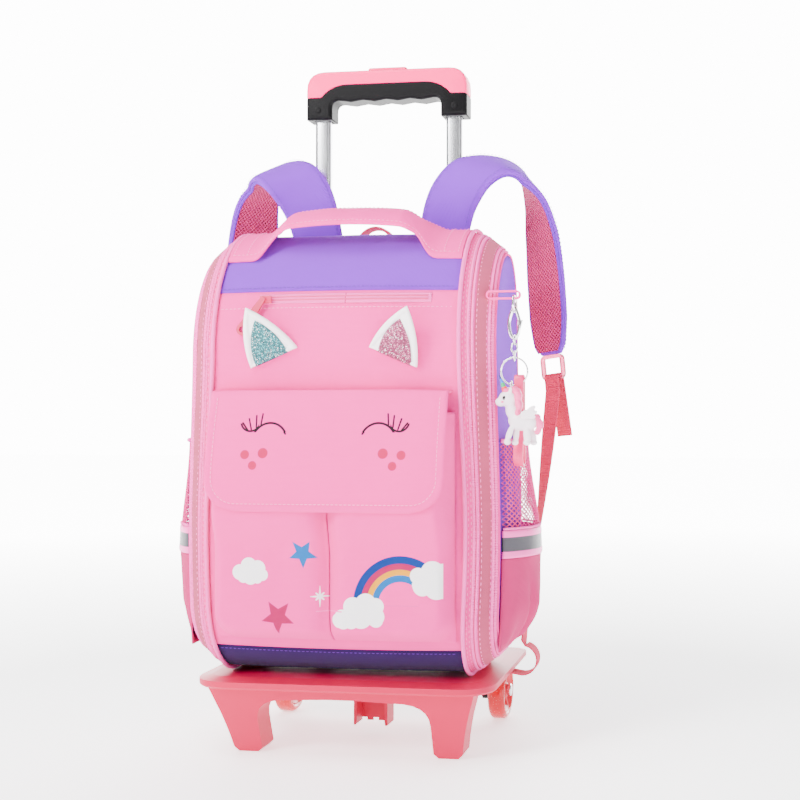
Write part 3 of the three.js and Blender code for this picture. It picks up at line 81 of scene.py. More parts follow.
class Value:
    """A number in a node tree, so that a pattern can be written as a sum."""

    def __init__(self, tree, socket):
        self.tree = tree
        self.socket = socket

    def do(self, operation, *others):
        node = self.tree.nodes.new("ShaderNodeMath")
        node.operation = operation
        for place, value in enumerate((self, *others)):
            if isinstance(value, Value):
                self.tree.links.new(value.socket, node.inputs[place])
            else:
                node.inputs[place].default_value = value
        return Value(self.tree, node.outputs[0])

    def __add__(self, other):
        return self.do("ADD", other)

    def __sub__(self, other):
        return self.do("SUBTRACT", other)

    def __mul__(self, other):
        return self.do("MULTIPLY", other)

    def __truediv__(self, other):
        return self.do("DIVIDE", other)

    def __neg__(self):
        return self.do("MULTIPLY", -1)

    def low(self, other):
        return self.do("MINIMUM", other)

    def high(self, other):
        return self.do("MAXIMUM", other)

    def size(self):
        return self.do("ABSOLUTE")

    def clamped(self):
        return self.low(1).high(0)

    def wave(self, length):
        return (self * (2 * math.pi / length)).do("SINE")

    def inside(self, edge=0.35):
        """1 where the distance is under 0, and 0 where it is over, with a soft edge."""
        return (self * (-1 / edge) + 0.5).clamped()


def hypot(x, z):
    return (x * x + z * z).do("SQRT")


class Look:
    """A procedural material under construction."""

    def __init__(self, name, color, roughness=0.8, **sockets):
        self.material = bpy.data.materials.new(name)
        self.material.use_nodes = True
        self.material.diffuse_color = color
        self.tree = self.material.node_tree
        self.shader = self.tree.nodes["Principled BSDF"]
        self.shader.inputs["Base Color"].default_value = color
        self.shader.inputs["Roughness"].default_value = roughness
        for socket, value in sockets.items():
            self.shader.inputs[socket.replace("_", " ")].default_value = value
        self.start = color
        self.color = None
        self.height = None

    def node(self, kind, **settings):
        node = self.tree.nodes.new(kind)
        for key, value in settings.items():
            if key in node.inputs:
                node.inputs[key].default_value = value
            else:
                setattr(node, key, value)
        return node

    def link(self, a, b):
        self.tree.links.new(a, b)

    def parts(self, socket):
        axes = self.node("ShaderNodeSeparateXYZ")
        self.link(socket, axes.inputs[0])
        return [Value(self.tree, output) for output in axes.outputs]

    def place(self):
        """X, Y and Z in millimetres, from the CAD source's origin."""
        parts = self.parts(self.node("ShaderNodeTexCoord").outputs["Object"])
        return [(part - float(shift)) / MM for part, shift in zip(parts, SHIFT)]

    def along(self):
        """The two directions of the cloth, in millimetres."""
        u, v, _ = self.parts(self.node("ShaderNodeUVMap", uv_map="cloth").outputs[0])
        return u / MM, v / MM

    def texture(self, kind, **settings):
        """A texture in the object's own coordinates."""
        texture = self.node(kind, **settings)
        self.link(self.node("ShaderNodeTexCoord").outputs["Object"], texture.inputs["Vector"])
        return texture

    def noise(self, scale):
        return Value(self.tree, self.texture("ShaderNodeTexNoise", Scale=scale, Detail=2.0).outputs[0])

    def paint(self, mask, color):
        """Lays a colour where the mask is 1."""
        mixer = self.node("ShaderNodeMix", data_type="RGBA")
        self.link(mask.socket, mixer.inputs[0])
        if self.color is None:
            mixer.inputs[6].default_value = self.start
        else:
            self.link(self.color, mixer.inputs[6])
        mixer.inputs[7].default_value = color
        self.color = mixer.outputs[2]
        self.link(self.color, self.shader.inputs["Base Color"])
        return self

    def vary(self, scale, amount, darker=0.82):
        shade = tuple(c * darker for c in self.start[:3]) + (1,)
        return self.paint((self.noise(scale) - 0.5) * amount + amount / 2, shade)

    def glow(self, near, far, inner, outer):
        """Emission that grows from near to far, from inner to outer metres off the origin."""
        x, y, _ = self.place()
        span = outer - inner
        spread = (hypot(x, y) * (MM / span) - inner / span).clamped()
        self.link((spread * (far - near) + near).socket, self.shader.inputs["Emission Strength"])
        self.shader.inputs["Emission Color"].default_value = (1, 1, 1, 1)

    def raise_by(self, value):
        self.height = value if self.height is None else self.height + value
        return self

    def finish(self, strength=0.4, distance=0.0006):
        if self.height is not None:
            bump = self.node("ShaderNodeBump", Strength=strength, Distance=distance)
            self.link(self.height.socket, bump.inputs["Height"])
            self.link(bump.outputs[0], self.shader.inputs["Normal"])
        return self.material


def cloth_look(name, color, weave=1.1, roughness=0.9, sheen=0.04):
    look = Look(name, color, roughness, Sheen_Weight=sheen, Sheen_Roughness=0.5, Specular_IOR_Level=0.2)
    look.vary(9, 0.25)
    u, v = look.along()
    look.raise_by(u.wave(weave) * 0.5 + v.wave(weave))
    return look.raise_by(look.noise(900) * 1.2)


def plastic(name, color, roughness=0.32, grain=0.15, **sockets):
    look = Look(name, color, roughness, **sockets)
    look.vary(14, 0.12, 0.93).raise_by(look.noise(700))
    return look.finish(grain, 0.0002)


def metal(name, color, roughness, scale=300, stretch=(1, 1, 1)):
    look = Look(name, color, roughness, Metallic=1.0)
    texture = look.node("ShaderNodeTexNoise", Scale=scale, Detail=3.0)
    mapping = look.texture("ShaderNodeMapping", Scale=stretch)
    look.link(mapping.outputs[0], texture.inputs["Vector"])
    grain = Value(look.tree, texture.outputs[0])
    look.link((grain * 0.15 + (roughness - 0.07)).socket, look.shader.inputs["Roughness"])
    return look.raise_by(grain).finish(0.05, 0.0002)


# Numbers along and across surfaces

def unit(vectors):
    return vectors / np.maximum(np.linalg.norm(vectors, axis=-1, keepdims=True), 1e-9)


def squared_to(tangent, vectors):
    """The vectors without their share along the tangents, at length 1."""
    return unit(vectors - tangent * (vectors * tangent).sum(axis=-1, keepdims=True))


def distances(path):
    return np.concatenate([[0], np.cumsum(np.linalg.norm(np.diff(path, axis=0), axis=1))])


def grid(down, over):
    return np.meshgrid(down, over, indexing="ij")


def circle(count):
    return np.linspace(0, 2 * math.pi, count, endpoint=False)


def hump(x, middle, reach):
    """A bell of height 1."""
    return np.exp(-(((x - middle) / reach) ** 2))


def smoothstep(x, a, b):
    t = np.clip((np.asarray(x, float) - a) / (b - a), 0, 1)
    return t * t * (3 - 2 * t)


def plateau(x, a, b, slope):
    """1 between a and b, falling to 0 at both over a slope."""
    return smoothstep(x, a, a + slope) * smoothstep(x, b, b - slope)


def bump_noise(u, v, size, seed):
    """Smooth noise from -1 to 1 over a plane, with cells of a size."""
    cells = 64
    lattice = np.random.default_rng(seed).uniform(-1, 1, (cells, cells))
    x, y = np.asarray(u, float) / size + 20, np.asarray(v, float) / size + 20
    i, j = np.floor(x).astype(int), np.floor(y).astype(int)
    right, up = smoothstep(x - i, 0, 1), smoothstep(y - j, 0, 1)

    def row(b):
        return lattice[i % cells, b % cells] * (1 - right) + lattice[(i + 1) % cells, b % cells] * right

    return row(j) * (1 - up) + row(j + 1) * up


def quadratic(a, control, b, steps=24):
    t = np.linspace(0, 1, steps)[:, None]
    return (1 - t) ** 2 * np.array(a) + 2 * t * (1 - t) * np.array(control) + t ** 2 * np.array(b)


def catmull(points, count):
    """A centripetal curve through points, at even steps of its parameter."""
    points = np.asarray(points, float)
    full = np.concatenate([[2 * points[0] - points[1]], points, [2 * points[-1] - points[-2]]])
    found = []
    for t in np.linspace(0, len(points) - 1, count):
        i = min(int(t), len(points) - 2)
        f = t - i
        a, b, c, d = full[i:i + 4]
        d0, d1, d2 = (max(np.sqrt(np.linalg.norm(q - p)), 1e-6) for p, q in ((a, b), (b, c), (c, d)))
        m1 = ((b - a) / d0 - (c - a) / (d0 + d1) + (c - b) / d1) * d1
        m2 = ((c - b) / d1 - (d - b) / (d1 + d2) + (d - c) / d2) * d1
        found.append(b + m1 * f + (3 * (c - b) - 2 * m1 - m2) * f ** 2 + (2 * (b - c) + m1 + m2) * f ** 3)
    return np.array(found)


# Pieces

def in_scene(name, data):
    made = bpy.data.objects.new(name, data)
    bpy.context.scene.collection.objects.link(made)
    return made


def settled(piece, node, body):
    """Attaches a piece to the body it rides on and hides the CAD node it stands for."""
    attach(piece, body)
    if node:
        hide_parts(node)
    return piece


def build(name, points, faces, material, slot, node=None, uv=None, body="backpack", angle=None, smooth=True):
    mesh = bpy.data.meshes.new(name)
    placed = np.asarray(points, float) * MM + SHIFT
    mesh.from_pydata(placed.tolist(), [], [list(map(int, face)) for face in faces])
    if uv is not None:
        layer = mesh.uv_layers.new(name="cloth")
        corners = np.zeros(len(mesh.loops), np.int64)
        mesh.loops.foreach_get("vertex_index", corners)
        layer.data.foreach_set("uv", (uv[corners] * MM).astype(np.float32).ravel())
    piece = in_scene(name, mesh)
    shell = bmesh.new()
    shell.from_mesh(mesh)
    bmesh.ops.recalc_face_normals(shell, faces=shell.faces)
    shell.to_mesh(mesh)
    shell.free()
    if smooth:
        mesh.shade_smooth()
    if angle is not None:
        mesh.set_sharp_from_angle(angle=math.radians(angle))
    mesh.materials.append(material)
    return settled(piece, node, body)


def grid_faces(rows, columns, loop=False, start=0):
    """Quads of a grid with rows x columns points; loop joins the last row to the first."""
    faces = []
    for r in range(rows if loop else rows - 1):
        below, above = start + r * columns, start + ((r + 1) % rows) * columns
        for c in range(columns - 1):
            faces.append((below + c, below + c + 1, above + c + 1, above + c))
    return faces


def sheet_uv(points):
    """Distances along the rows and the columns of a grid of points."""
    steps = np.linalg.norm(np.diff(points, axis=1), axis=2)
    u = np.concatenate([np.zeros((len(points), 1)), np.cumsum(steps, axis=1)], axis=1)
    steps = np.linalg.norm(np.diff(points, axis=0), axis=2)
    v = np.concatenate([np.zeros((1, points.shape[1])), np.cumsum(steps, axis=0)], axis=0)
    u -= u[:, [u.shape[1] // 2]]
    return np.stack([u, v.mean(axis=1, keepdims=True) * np.ones_like(u)], axis=2)


def cloth_wall(name, outer, inner, material, slot, node=None, loop=False, uv=None):
    """A closed wall between two grids of points."""
    rows, columns, _ = outer.shape
    count = rows * columns
    faces = grid_faces(rows, columns, loop) + [f[::-1] for f in grid_faces(rows, columns, loop, count)]
    last = columns - 1
    for r in range(rows if loop else rows - 1):
        a, b = r * columns, ((r + 1) % rows) * columns
        faces.append((a, b, b + count, a + count))
        faces.append((a + last, a + last + count, b + last + count, b + last))
    if not loop:
        end = (rows - 1) * columns
        for c in range(columns - 1):
            faces.append((c, c + count, c + 1 + count, c + 1))
            faces.append((end + c, end + c + 1, end + c + 1 + count, end + c + count))
    flat = (sheet_uv(outer) if uv is None else uv).reshape(-1, 2)
    points = np.concatenate([outer.reshape(-1, 3), inner.reshape(-1, 3)])
    return build(name, points, faces, material, slot, node, np.concatenate([flat, flat]))


def skin(name, rings, material, slot, node=None, loop=False, body="backpack", angle=None, smooth=True):
    """A closed body through rings of points; its ends are capped unless it loops."""
    rings = np.asarray(rings, float)
    count, corners, _ = rings.shape
    faces = []
    for r in range(count if loop else count - 1):
        a, b = r * corners, ((r + 1) % count) * corners
        for c in range(corners):
            d = (c + 1) % corners
            faces.append((a + c, a + d, b + d, b + c))
    if not loop:
        faces.append(tuple(range(corners))[::-1])
        faces.append(tuple((count - 1) * corners + c for c in range(corners)))
    around = np.linalg.norm(np.roll(rings, -1, axis=1) - rings, axis=2)
    across = np.concatenate([np.zeros((count, 1)), np.cumsum(around, axis=1)[:, :-1]], axis=1)
    along = distances(rings.mean(axis=1))[:, None] * np.ones_like(across)
    uv = np.stack([across, along], axis=2).reshape(-1, 2)
    return build(name, rings.reshape(-1, 3), faces, material, slot, node, uv, body, angle, smooth)


def tube_rings(path, radius, corners=10, loop=False):
    path = np.asarray(path, float)
    if loop:
        tangent = unit(np.roll(path, -1, axis=0) - np.roll(path, 1, axis=0))
    else:
        tangent = unit(np.gradient(path, axis=0))
    side = np.cross(tangent[0], (0.1, 0.2, 1.0))
    angles = circle(corners)[:, None]
    rings = []
    for at, direction in zip(path, tangent):
        side = squared_to(direction, side)
        up = np.cross(direction, side)
        rings.append(at + radius * (np.cos(angles) * side + np.sin(angles) * up))
    return np.array(rings)


def band_rings(line, across, outward, section, half_width, half_thickness):
    """Rings of one section along a line; the section's corners are shares of the half width and thickness."""
    return [[at + over * a * half_width + out * b * half_thickness for a, b in section]
            for at, over, out in zip(line, across, outward)]


stitch_sets = {}


def stitch(kind, path, above, pitch=4.2, length=2.9, width=0.8):
    """Adds a row of stitches along a path on a surface; above is the same path, off the surface."""
    path = np.asarray(path, float)
    steps = distances(path)
    high, low_rise, end_share = 0.55, 0.05, 0.6

    def at(distance, field):
        return np.array([np.interp(distance, steps, field[:, k]) for k in range(3)])

    points, faces = stitch_sets.setdefault(kind, ([], []))
    for i in range(int(steps[-1] / pitch)):
        centre = (i + 0.5) * pitch
        a, b = at(centre - length / 2, path), at(centre + length / 2, path)
        up = unit(at(centre, above - path))
        side = np.cross(unit(b - a), up) * width / 2
        middle = (a + b) / 2 + up * high
        foot, end = up * low_rise, side * end_share
        n = len(points)
        points += [a - end + foot, a + end + foot, middle + side, middle - side]
        points += [b + end + foot, b - end + foot]
        faces += [(n, n + 1, n + 2, n + 3), (n + 3, n + 2, n + 4, n + 5), (n + 1, n, n + 5, n + 4),
                  (n, n + 3, n + 5), (n + 1, n + 4, n + 2)]


def dressed(node, name, material, bevel=0.0, angle=40, body="backpack", segments=2):
    """The CAD node again as a piece of its own, with rounded edges."""
    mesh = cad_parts[node].data.copy()
    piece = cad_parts[node].copy()
    piece.data = mesh
    for key in list(piece.keys()):
        del piece[key]
    piece.name = name
    piece.parent = None
    bpy.context.scene.collection.objects.link(piece)
    mesh.materials.clear()
    mesh.materials.append(material)
    shell = bmesh.new()
    shell.from_mesh(mesh)
    bmesh.ops.remove_doubles(shell, verts=shell.verts, dist=1e-6)
    bmesh.ops.dissolve_limit(shell, angle_limit=math.radians(2), verts=shell.verts, edges=shell.edges)
    shell.to_mesh(mesh)
    shell.free()
    mesh.shade_smooth()
    mesh.set_sharp_from_angle(angle=math.radians(angle))
    if bevel:
        rounding = piece.modifiers.new("edges", "BEVEL")
        rounding.width = bevel * MM
        rounding.segments = segments
        rounding.limit_method = "ANGLE"
        rounding.angle_limit = math.radians(angle)
        rounding.harden_normals = True
    return settled(piece, node, body)


# The bag's shape, as in the CAD source

FRONT, BACK, BOTTOM, TOP = -38, 118, 80, 500
MIDDLE_Y, MIDDLE_Z = (FRONT + BACK) / 2, (BOTTOM + TOP) / 2
BROW_DEPTH, BROW_HEIGHT = 90, 120
NAPE_DEPTH, NAPE_HEIGHT = 60, 80
CHIN_DEPTH, CHIN_HEIGHT = 55, 65
BACK_RADIUS = 30
FRONT_CROWN = 3
PANEL_HALF, GUSSET_WIDTH, GUSSET_DEPTH, GUSSET_BOW = 116, 30, 22, 0.35
PANEL_SWELL, SWELL_HEIGHT, SWELL_REACH, SIDE_SWELL = 7, 212, 115, 0.6
SIDE_BULGE = 3
YOKE_SEAM, CHIN_SEAM, HANDLE_SEAM, HANDLE_BACK = 437, 107, 467, 47
SEAT = 0.3
CLOTH, THIN_CLOTH = 2.5, 1.6


def outline_points():
    """The bag's profile in Y and Z at even steps, and its length."""
    def arc(cy, cz, ry, rz, start, end, steps):
        angles = np.linspace(start, end, steps) * math.pi / 2
        return np.stack([cy + ry * np.cos(angles), cz + rz * np.sin(angles)], axis=1)

    coarse = np.concatenate([
        np.array([[FRONT, BOTTOM + CHIN_HEIGHT]]),
        arc(FRONT + BROW_DEPTH, TOP - BROW_HEIGHT, BROW_DEPTH, BROW_HEIGHT, 2, 1, 300),
        arc(BACK - NAPE_DEPTH, TOP - NAPE_HEIGHT, NAPE_DEPTH, NAPE_HEIGHT, 1, 0, 200),
        arc(BACK - BACK_RADIUS, BOTTOM + BACK_RADIUS, BACK_RADIUS, BACK_RADIUS, 0, -1, 100),
        arc(FRONT + CHIN_DEPTH, BOTTOM + CHIN_HEIGHT, CHIN_DEPTH, CHIN_HEIGHT, -1, -2, 200),
    ])
    steps = distances(coarse)
    even = np.linspace(0, steps[-1], 6001)
    return np.stack([np.interp(even, steps, coarse[:, k]) for k in range(2)], axis=1), steps[-1]


OUTLINE, LENGTH = outline_points()
SHARES = np.linspace(0, 1, len(OUTLINE))
TANGENT = np.gradient(OUTLINE, axis=0)
TANGENT[0] = TANGENT[-1] = (0, 1)
# Its direction is evened out over a stretch of steps each way, so that it turns smoothly between arcs
reach = 20
for axis in (0, 1):
    wrapped = np.concatenate([TANGENT[-reach - 1:-1, axis], TANGENT[:, axis], TANGENT[1:reach + 1, axis]])
    TANGENT[:, axis] = np.convolve(wrapped, np.ones(2 * reach + 1) / (2 * reach + 1), "valid")
TANGENT = unit(TANGENT)


def on_outline(share):
    """Y and Z on the profile, and its direction there."""
    wrapped = np.mod(share, 1)
    return [np.interp(wrapped, SHARES, table[:, k]) for table in (OUTLINE, TANGENT) for k in range(2)]


def swell(z):
    return PANEL_SWELL * hump(z, SWELL_HEIGHT, SWELL_REACH)


def side_face(z):
    return PANEL_HALF + GUSSET_WIDTH + SIDE_SWELL * swell(z)


def panel_point(share, across, out):
    y, z, ty, tz = on_outline(share)
    off = FRONT_CROWN * np.maximum(0, tz) * (1 - across ** 2) + out
    points = np.broadcast_arrays(across * (PANEL_HALF + swell(z)), y - tz * off, z + ty * off)
    return np.stack(points, axis=-1)


def gusset_point(share, side, turn, out):
    """A point off the gusset; turn runs from 0 at the front piping to 1 at the side panel."""
    y, z, ty, tz = on_outline(share)
    sine, cosine = np.sin(turn * math.pi / 2), np.cos(turn * math.pi / 2)
    edge = PANEL_HALF + swell(z)
    reach = (side_face(z) - edge) * (turn * (1 - GUSSET_BOW) + sine * GUSSET_BOW)
    off = out * cosine - GUSSET_DEPTH * (turn * (1 - GUSSET_BOW) + (1 - cosine) * GUSSET_BOW)
    points = np.broadcast_arrays(side * (edge + reach + out * sine), y - tz * off, z + ty * off)
    return np.stack(points, axis=-1)


def share_where(low, high, reached):
    """The first share of the profile in a stretch for which a condition holds to the stretch's end."""
    for _ in range(40):
        middle = (low + high) / 2
        if reached(*on_outline(middle)[:2]):
            high = middle
        else:
            low = middle
    return high


def front_share(height):
    return share_where(-0.15, 0.45, lambda y, z: z >= height)


def top_share(depth):
    return share_where(0.2, 0.5, lambda y, z: y >= depth)


FRONT_HEIGHTS = np.linspace(BOTTOM + 2, TOP - 1, 300)
FRONT_SHARES = [front_share(height) for height in FRONT_HEIGHTS]


def share_at(z):
    return np.interp(z, FRONT_HEIGHTS, FRONT_SHARES)


def on_front(x, z, out):
    return panel_point(share_at(z), x / (PANEL_HALF + swell(z)), out)


def front_at(x, z):
    """Y where something is sewn on the front panel."""
    return on_front(x, z, SEAT)[..., 1]


YOKE, CHIN = front_share(YOKE_SEAM), front_share(CHIN_SEAM)
NAPE = top_share(BACK - NAPE_DEPTH)
HEEL = share_where(0.6, 0.99, lambda y, z: y <= BACK - BACK_RADIUS)

# The bag's panels

pink_cloth = cloth_look("pink_twill", PINK).finish()
# The side pockets' cloth is a darker pink: painted shade
painted_shade_cloth = cloth_look("pocket_twill_painted_shade", PINK_PAINTED_SHADE).finish()
purple_cloth = cloth_look("purple_cloth", PURPLE).finish()
dark_cloth = cloth_look("dark_purple_cloth", PURPLE_DARK).finish()
piping_cloth = cloth_look("piping_cloth", PINK_PALE, weave=0.9).finish()


def panel(label, start, end, material, slot, seed, quiet):
    """A cloth panel with soft waves, drawn in and puckered at its seams."""
    gap = 0.2 / LENGTH
    rows = max(12, int(abs(end - start) * LENGTH / 3))
    share, across = grid(np.linspace(start + gap, end - gap, rows), np.linspace(-1, 1, 90) * 0.9985)
    u, v = across * PANEL_HALF, share * LENGTH
    edge = np.minimum(PANEL_HALF - np.abs(u), np.minimum(v - v[0], v[-1] - v))
    soft = smoothstep(edge, 0, 9)
    puckers = np.sin(v / 2.6 + 2 * bump_noise(u, v, 30, seed + 2)) * (1 - soft) * soft * 4
    waves = (0.8 * bump_noise(u, v, 55, seed) + 0.25 * bump_noise(u, v, 17, seed + 1)) * soft * quiet
    outer = panel_point(share, across, waves + 0.45 * (soft - 1) + 0.22 * puckers)
    cloth_wall(f"{label}_cloth", outer, panel_point(share, across, -CLOTH), material, slot, f"{label}_panel")


panel("front", CHIN, YOKE, pink_cloth, "pink_cloth", 3, 1.0)
panel("yoke", YOKE, NAPE, purple_cloth, "purple_cloth", 8, 0.6)
panel("back", NAPE, HEEL, purple_cloth, "purple_cloth", 12, 0.5)
panel("base", HEEL - 1, CHIN, dark_cloth, "purple_cloth", 16, 0.5)


def seam_row(kind, share, half=0.97):
    across = np.linspace(-half, half, 120)
    stitch(kind, panel_point(share, across, 0.35), panel_point(share, across, 1.35))


seam_row("purple_thread", YOKE + 3.5 / LENGTH)
seam_row("purple_thread", CHIN - 3 / LENGTH)

# The gussets: each carries two closed zips with a greyer strip between them

ZIP_PLACES = (("front", 0.26), ("rear", 0.80))
ZIP_HALF = 3.4 / math.hypot(GUSSET_WIDTH, GUSSET_DEPTH)
STRIP_FROM, STRIP_TO = 0.37, 0.69
TURN_UNITS = 1000
# Where each row of stitches runs on the gusset and how high it lies
GUSSET_SEAMS = ((0.075, 0.25), (0.145, 0.25), (STRIP_FROM + 0.03, 0.9), (STRIP_TO - 0.03, 0.9), (0.885, 0.25))
RING = 420
PIPING_RADIUS = 2.0
ring_share = np.linspace(HEEL - 1, HEEL, RING, endpoint=False)

gusset_look = cloth_look("gusset_cloth", PINK)
turn_now, _ = gusset_look.along()
strip_middle, strip_half = TURN_UNITS * (STRIP_FROM + STRIP_TO) / 2, TURN_UNITS * (STRIP_TO - STRIP_FROM) / 2
strip_mask = (turn_now - strip_middle).size() - strip_half
gusset_cloth = gusset_look.paint(strip_mask.inside(8), PINK_GREY).finish()
zip_look = cloth_look("zip_tape", PINK_PALE, weave=1.6)
zip_place, zip_run = zip_look.along()
zip_look.paint((zip_place.size() - 0.45).inside(0.3), PINK_DEEP)
zip_tape = zip_look.raise_by(zip_run.wave(2.4) * 2).finish()

for label, side in SIDES:
    share, turn = grid(ring_share, np.linspace(0.006, 1, 40))
    run = share * LENGTH
    # The strip between the zips stands up, a groove and a welt follow the side panel's seam, and the rest
    # has soft waves and fine puckers
    relief = 0.9 * plateau(turn, STRIP_FROM - 0.01, STRIP_TO + 0.01, 0.025)
    relief += 1.6 * hump(turn, 0.955, 0.028) - 0.7 * hump(turn, 0.905, 0.014)
    relief += 0.5 * bump_noise(turn * 60, run, 42, 31 + side) * plateau(turn, 0, 1, 0.2)
    relief += 0.14 * np.sin(run / 1.9) * hump(turn, 0.5, 0.25)
    cloth_wall(f"gusset_cloth_{label}", gusset_point(share, side, turn, relief),
               gusset_point(share, side, turn, -CLOTH), gusset_cloth, "pink_cloth", f"gusset_{label}",
               loop=True, uv=np.stack([turn * TURN_UNITS, run], axis=2))

    middle = gusset_point(ring_share, side, 0, PIPING_RADIUS)
    skin(f"piping_{label}", tube_rings(middle, PIPING_RADIUS, 10, True), piping_cloth, "piping",
         f"front_piping_{label}", loop=True)

    for which, place in ZIP_PLACES:
        share, across = grid(np.linspace(HEEL - 1 + 0.004, NAPE, 360), np.linspace(-1, 1, 13))
        off = np.abs(across)
        ridge = 0.5 + 1.5 * hump(off, 0.55, 0.3) - 0.5 * smoothstep(off, 0.85, 1)
        turn = place + across * ZIP_HALF
        cloth_wall(f"zip_{which}_{label}", gusset_point(share, side, turn, ridge),
                   gusset_point(share, side, turn, 0.15), zip_tape, "zip_tape", f"side_zip_{which}_{label}")
    for turn, off in GUSSET_SEAMS:
        path = gusset_point(ring_share, side, turn, off)
        stitch("pink_thread", path, gusset_point(ring_share, side, turn, 2.5), pitch=5.2)

# Side panels: shallow dishes inside the gussets' rear edges

for label, side in SIDES:
    inward = np.linspace(1, 0, 34)
    rim = gusset_point(ring_share, side, 1, 0)
    centre = np.stack([rim[:, 0], np.full(RING, MIDDLE_Y), np.full(RING, MIDDLE_Z)], axis=1)
    start = rim + 2 * SEAT * unit(centre - rim)
    points = centre[:, None, :] + (start - centre)[:, None, :] * inward[None, :, None]
    away = np.linalg.norm(points - rim[:, None, :], axis=2)
    relief = bump_noise(points[..., 1], points[..., 2], 46, 51 + side) * smoothstep(away, 4, 30)
    relief -= 0.5 * hump(away, 2, 2.5)
    dish = SIDE_BULGE * (1 - inward[None, :] ** 2)
    points[:, -1, 0] = side * side_face(MIDDLE_Z)
    outer, inner = points.copy(), points.copy()
    outer[..., 0] += side * (dish + relief)
    inner[..., 0] += side * (dish - CLOTH)
    cloth_wall(f"side_cloth_{label}", outer, inner, purple_cloth, "purple_cloth", f"side_panel_{label}",
               loop=True)

# Side pockets

POCKET_FRONT, POCKET_BACK, POCKET_BOTTOM, POCKET_TOP = -13, 90, 104, 300
BAND, BAND_TOP = 190, 216
POCKET_FILL, POCKET_FILL_TOP = 25, 13
NET_CELLS, NET_ROWS = 20, 17


def pocket_bulge(z, across):
    low = np.sqrt(smoothstep(z, POCKET_BOTTOM - 2, POCKET_BOTTOM + 45))
    high = 1 + (POCKET_FILL_TOP / POCKET_FILL - 1) * smoothstep(z, BAND, POCKET_TOP)
    return POCKET_FILL * low * high * np.sin(math.pi * np.clip(across, 0, 1)) ** 0.75


def side_pocket_point(side, z, across, out):
    y = POCKET_FRONT + (POCKET_BACK - POCKET_FRONT) * across
    ring = np.maximum(np.abs(y - MIDDLE_Y) / ((BACK - FRONT) / 2 - GUSSET_DEPTH),
                      np.abs(z - MIDDLE_Z) / ((TOP - BOTTOM) / 2 - GUSSET_DEPTH))
    dish = SIDE_BULGE * np.maximum(0, 1 - ring ** 2)
    x = side * (side_face(z) + dish + SEAT + THIN_CLOTH + pocket_bulge(z, across) + out)
    return np.stack(np.broadcast_arrays(x, y, z), axis=-1)


def net_mesh(side):
    """Diamonds between the band and the pocket's mouth, as points and faces."""
    points, faces, index = [], [], {}

    def corner(i, j):
        if (i, j) not in index:
            index[i, j] = len(points)
            height = BAND_TOP + 1 + (POCKET_TOP - BAND_TOP - 3) * j / (2 * NET_ROWS)
            points.append(side_pocket_point(side, height, i / (2 * NET_CELLS), -0.8))
        return index[i, j]

    for i in range(1, 2 * NET_CELLS):
        for j in range(1, 2 * NET_ROWS):
            if (i + j) % 2 == 1:
                faces.append((corner(i - 1, j), corner(i, j - 1), corner(i + 1, j), corner(i, j + 1)))
    return np.array(points), faces


band_look = cloth_look("reflective_band", srgb(0.27, 0.26, 0.29), roughness=0.35, sheen=0)
_, band_height = band_look.along()
band_look.paint((-(band_height - (BAND_TOP - BAND) / 2).size() + 6.6).inside(0.4), PINK_PALE)
band_cloth = band_look.finish(0.15)
net_look = Look("net_yarn", NET_PINK, 0.8, Specular_IOR_Level=0.2)
net_yarn = net_look.vary(60, 0.3).raise_by(net_look.noise(1500)).finish()

for label, side in SIDES:
    z, across = grid(np.linspace(POCKET_BOTTOM, BAND, 46), np.linspace(0, 1, 60))
    # Gathers at the foot, a slanting crease with a soft ridge beside it, and waves that fade to the edges
    gathers = np.sin(across * 26 + 3 * bump_noise(across * 40, z, 30, 61))
    folds = gathers * 1.5 * np.exp(-(z - POCKET_BOTTOM) / 26)
    pleat = (z - POCKET_BOTTOM) / (BAND - POCKET_BOTTOM)
    crease = hump(across, 0.46 - 0.24 * pleat, 0.035)
    folds -= 5.5 * crease * smoothstep(pleat, 0.95, 0.2) * smoothstep(pleat, 0, 0.12)
    folds += 3.0 * hump(across, 0.56 - 0.22 * pleat, 0.07) * smoothstep(pleat, 0.9, 0.3)
    folds += 1.1 * bump_noise(across * 100, z, 26, 71 + side)
    rim = plateau(across, 0, 1, 0.06) * smoothstep(z, POCKET_BOTTOM, POCKET_BOTTOM + 8)
    folds *= rim * smoothstep(z, BAND, BAND - 10) * 0.9
    # The pocket cloth is a darker pink: painted shade
    cloth_wall(f"side_pocket_cloth_{label}", side_pocket_point(side, z, across, folds),
               side_pocket_point(side, z, across, folds - THIN_CLOTH), painted_shade_cloth, "pink_cloth",
               f"side_pocket_{label}")

    z, across = grid(np.linspace(BAND + 0.2, BAND_TOP, 16), np.linspace(0, 1, 60))
    edge = np.minimum(z - BAND, BAND_TOP - z)
    lift = 0.7 + 0.7 * smoothstep(edge, 0, 1.5) - 0.5 * smoothstep(edge, 5.2, 6.4)
    cloth_wall(f"pocket_band_{label}", side_pocket_point(side, z, across, lift),
               side_pocket_point(side, z, across, -1.2), band_cloth, "reflective", f"pocket_strip_{label}")

    net = build(f"net_{label}", *net_mesh(side), net_yarn, "net", f"pocket_net_{label}")
    net.modifiers.new("yarn", "WIREFRAME").thickness = 1.25 * MM
    for height, radius in ((POCKET_TOP - 1.4, 2.0), (BAND_TOP + 1.6, 1.2)):
        hem = side_pocket_point(side, np.full(70, height), np.linspace(0, 1, 70), 0.4)
        skin(f"net_hem_{label}_{int(height)}", tube_rings(hem, radius, 8), piping_cloth, "piping")

# Front pouches and flap

FLAP_TOP, FLAP_BOTTOM, FLAP_HALF, FLAP_FRONT, FLAP_SHELF, FLAP_CORNER = 345, 236, 111, -76, 17, 30
POUCH_HALF, POUCH_BOTTOM, POUCH_TOP, POUCH_CORNER, POUCH_DEPTH, POUCH_SWELL = 114, 116, 325, 24, 18, 45
PLEAT_GAP = 0.4
FLAP_WALL = 3


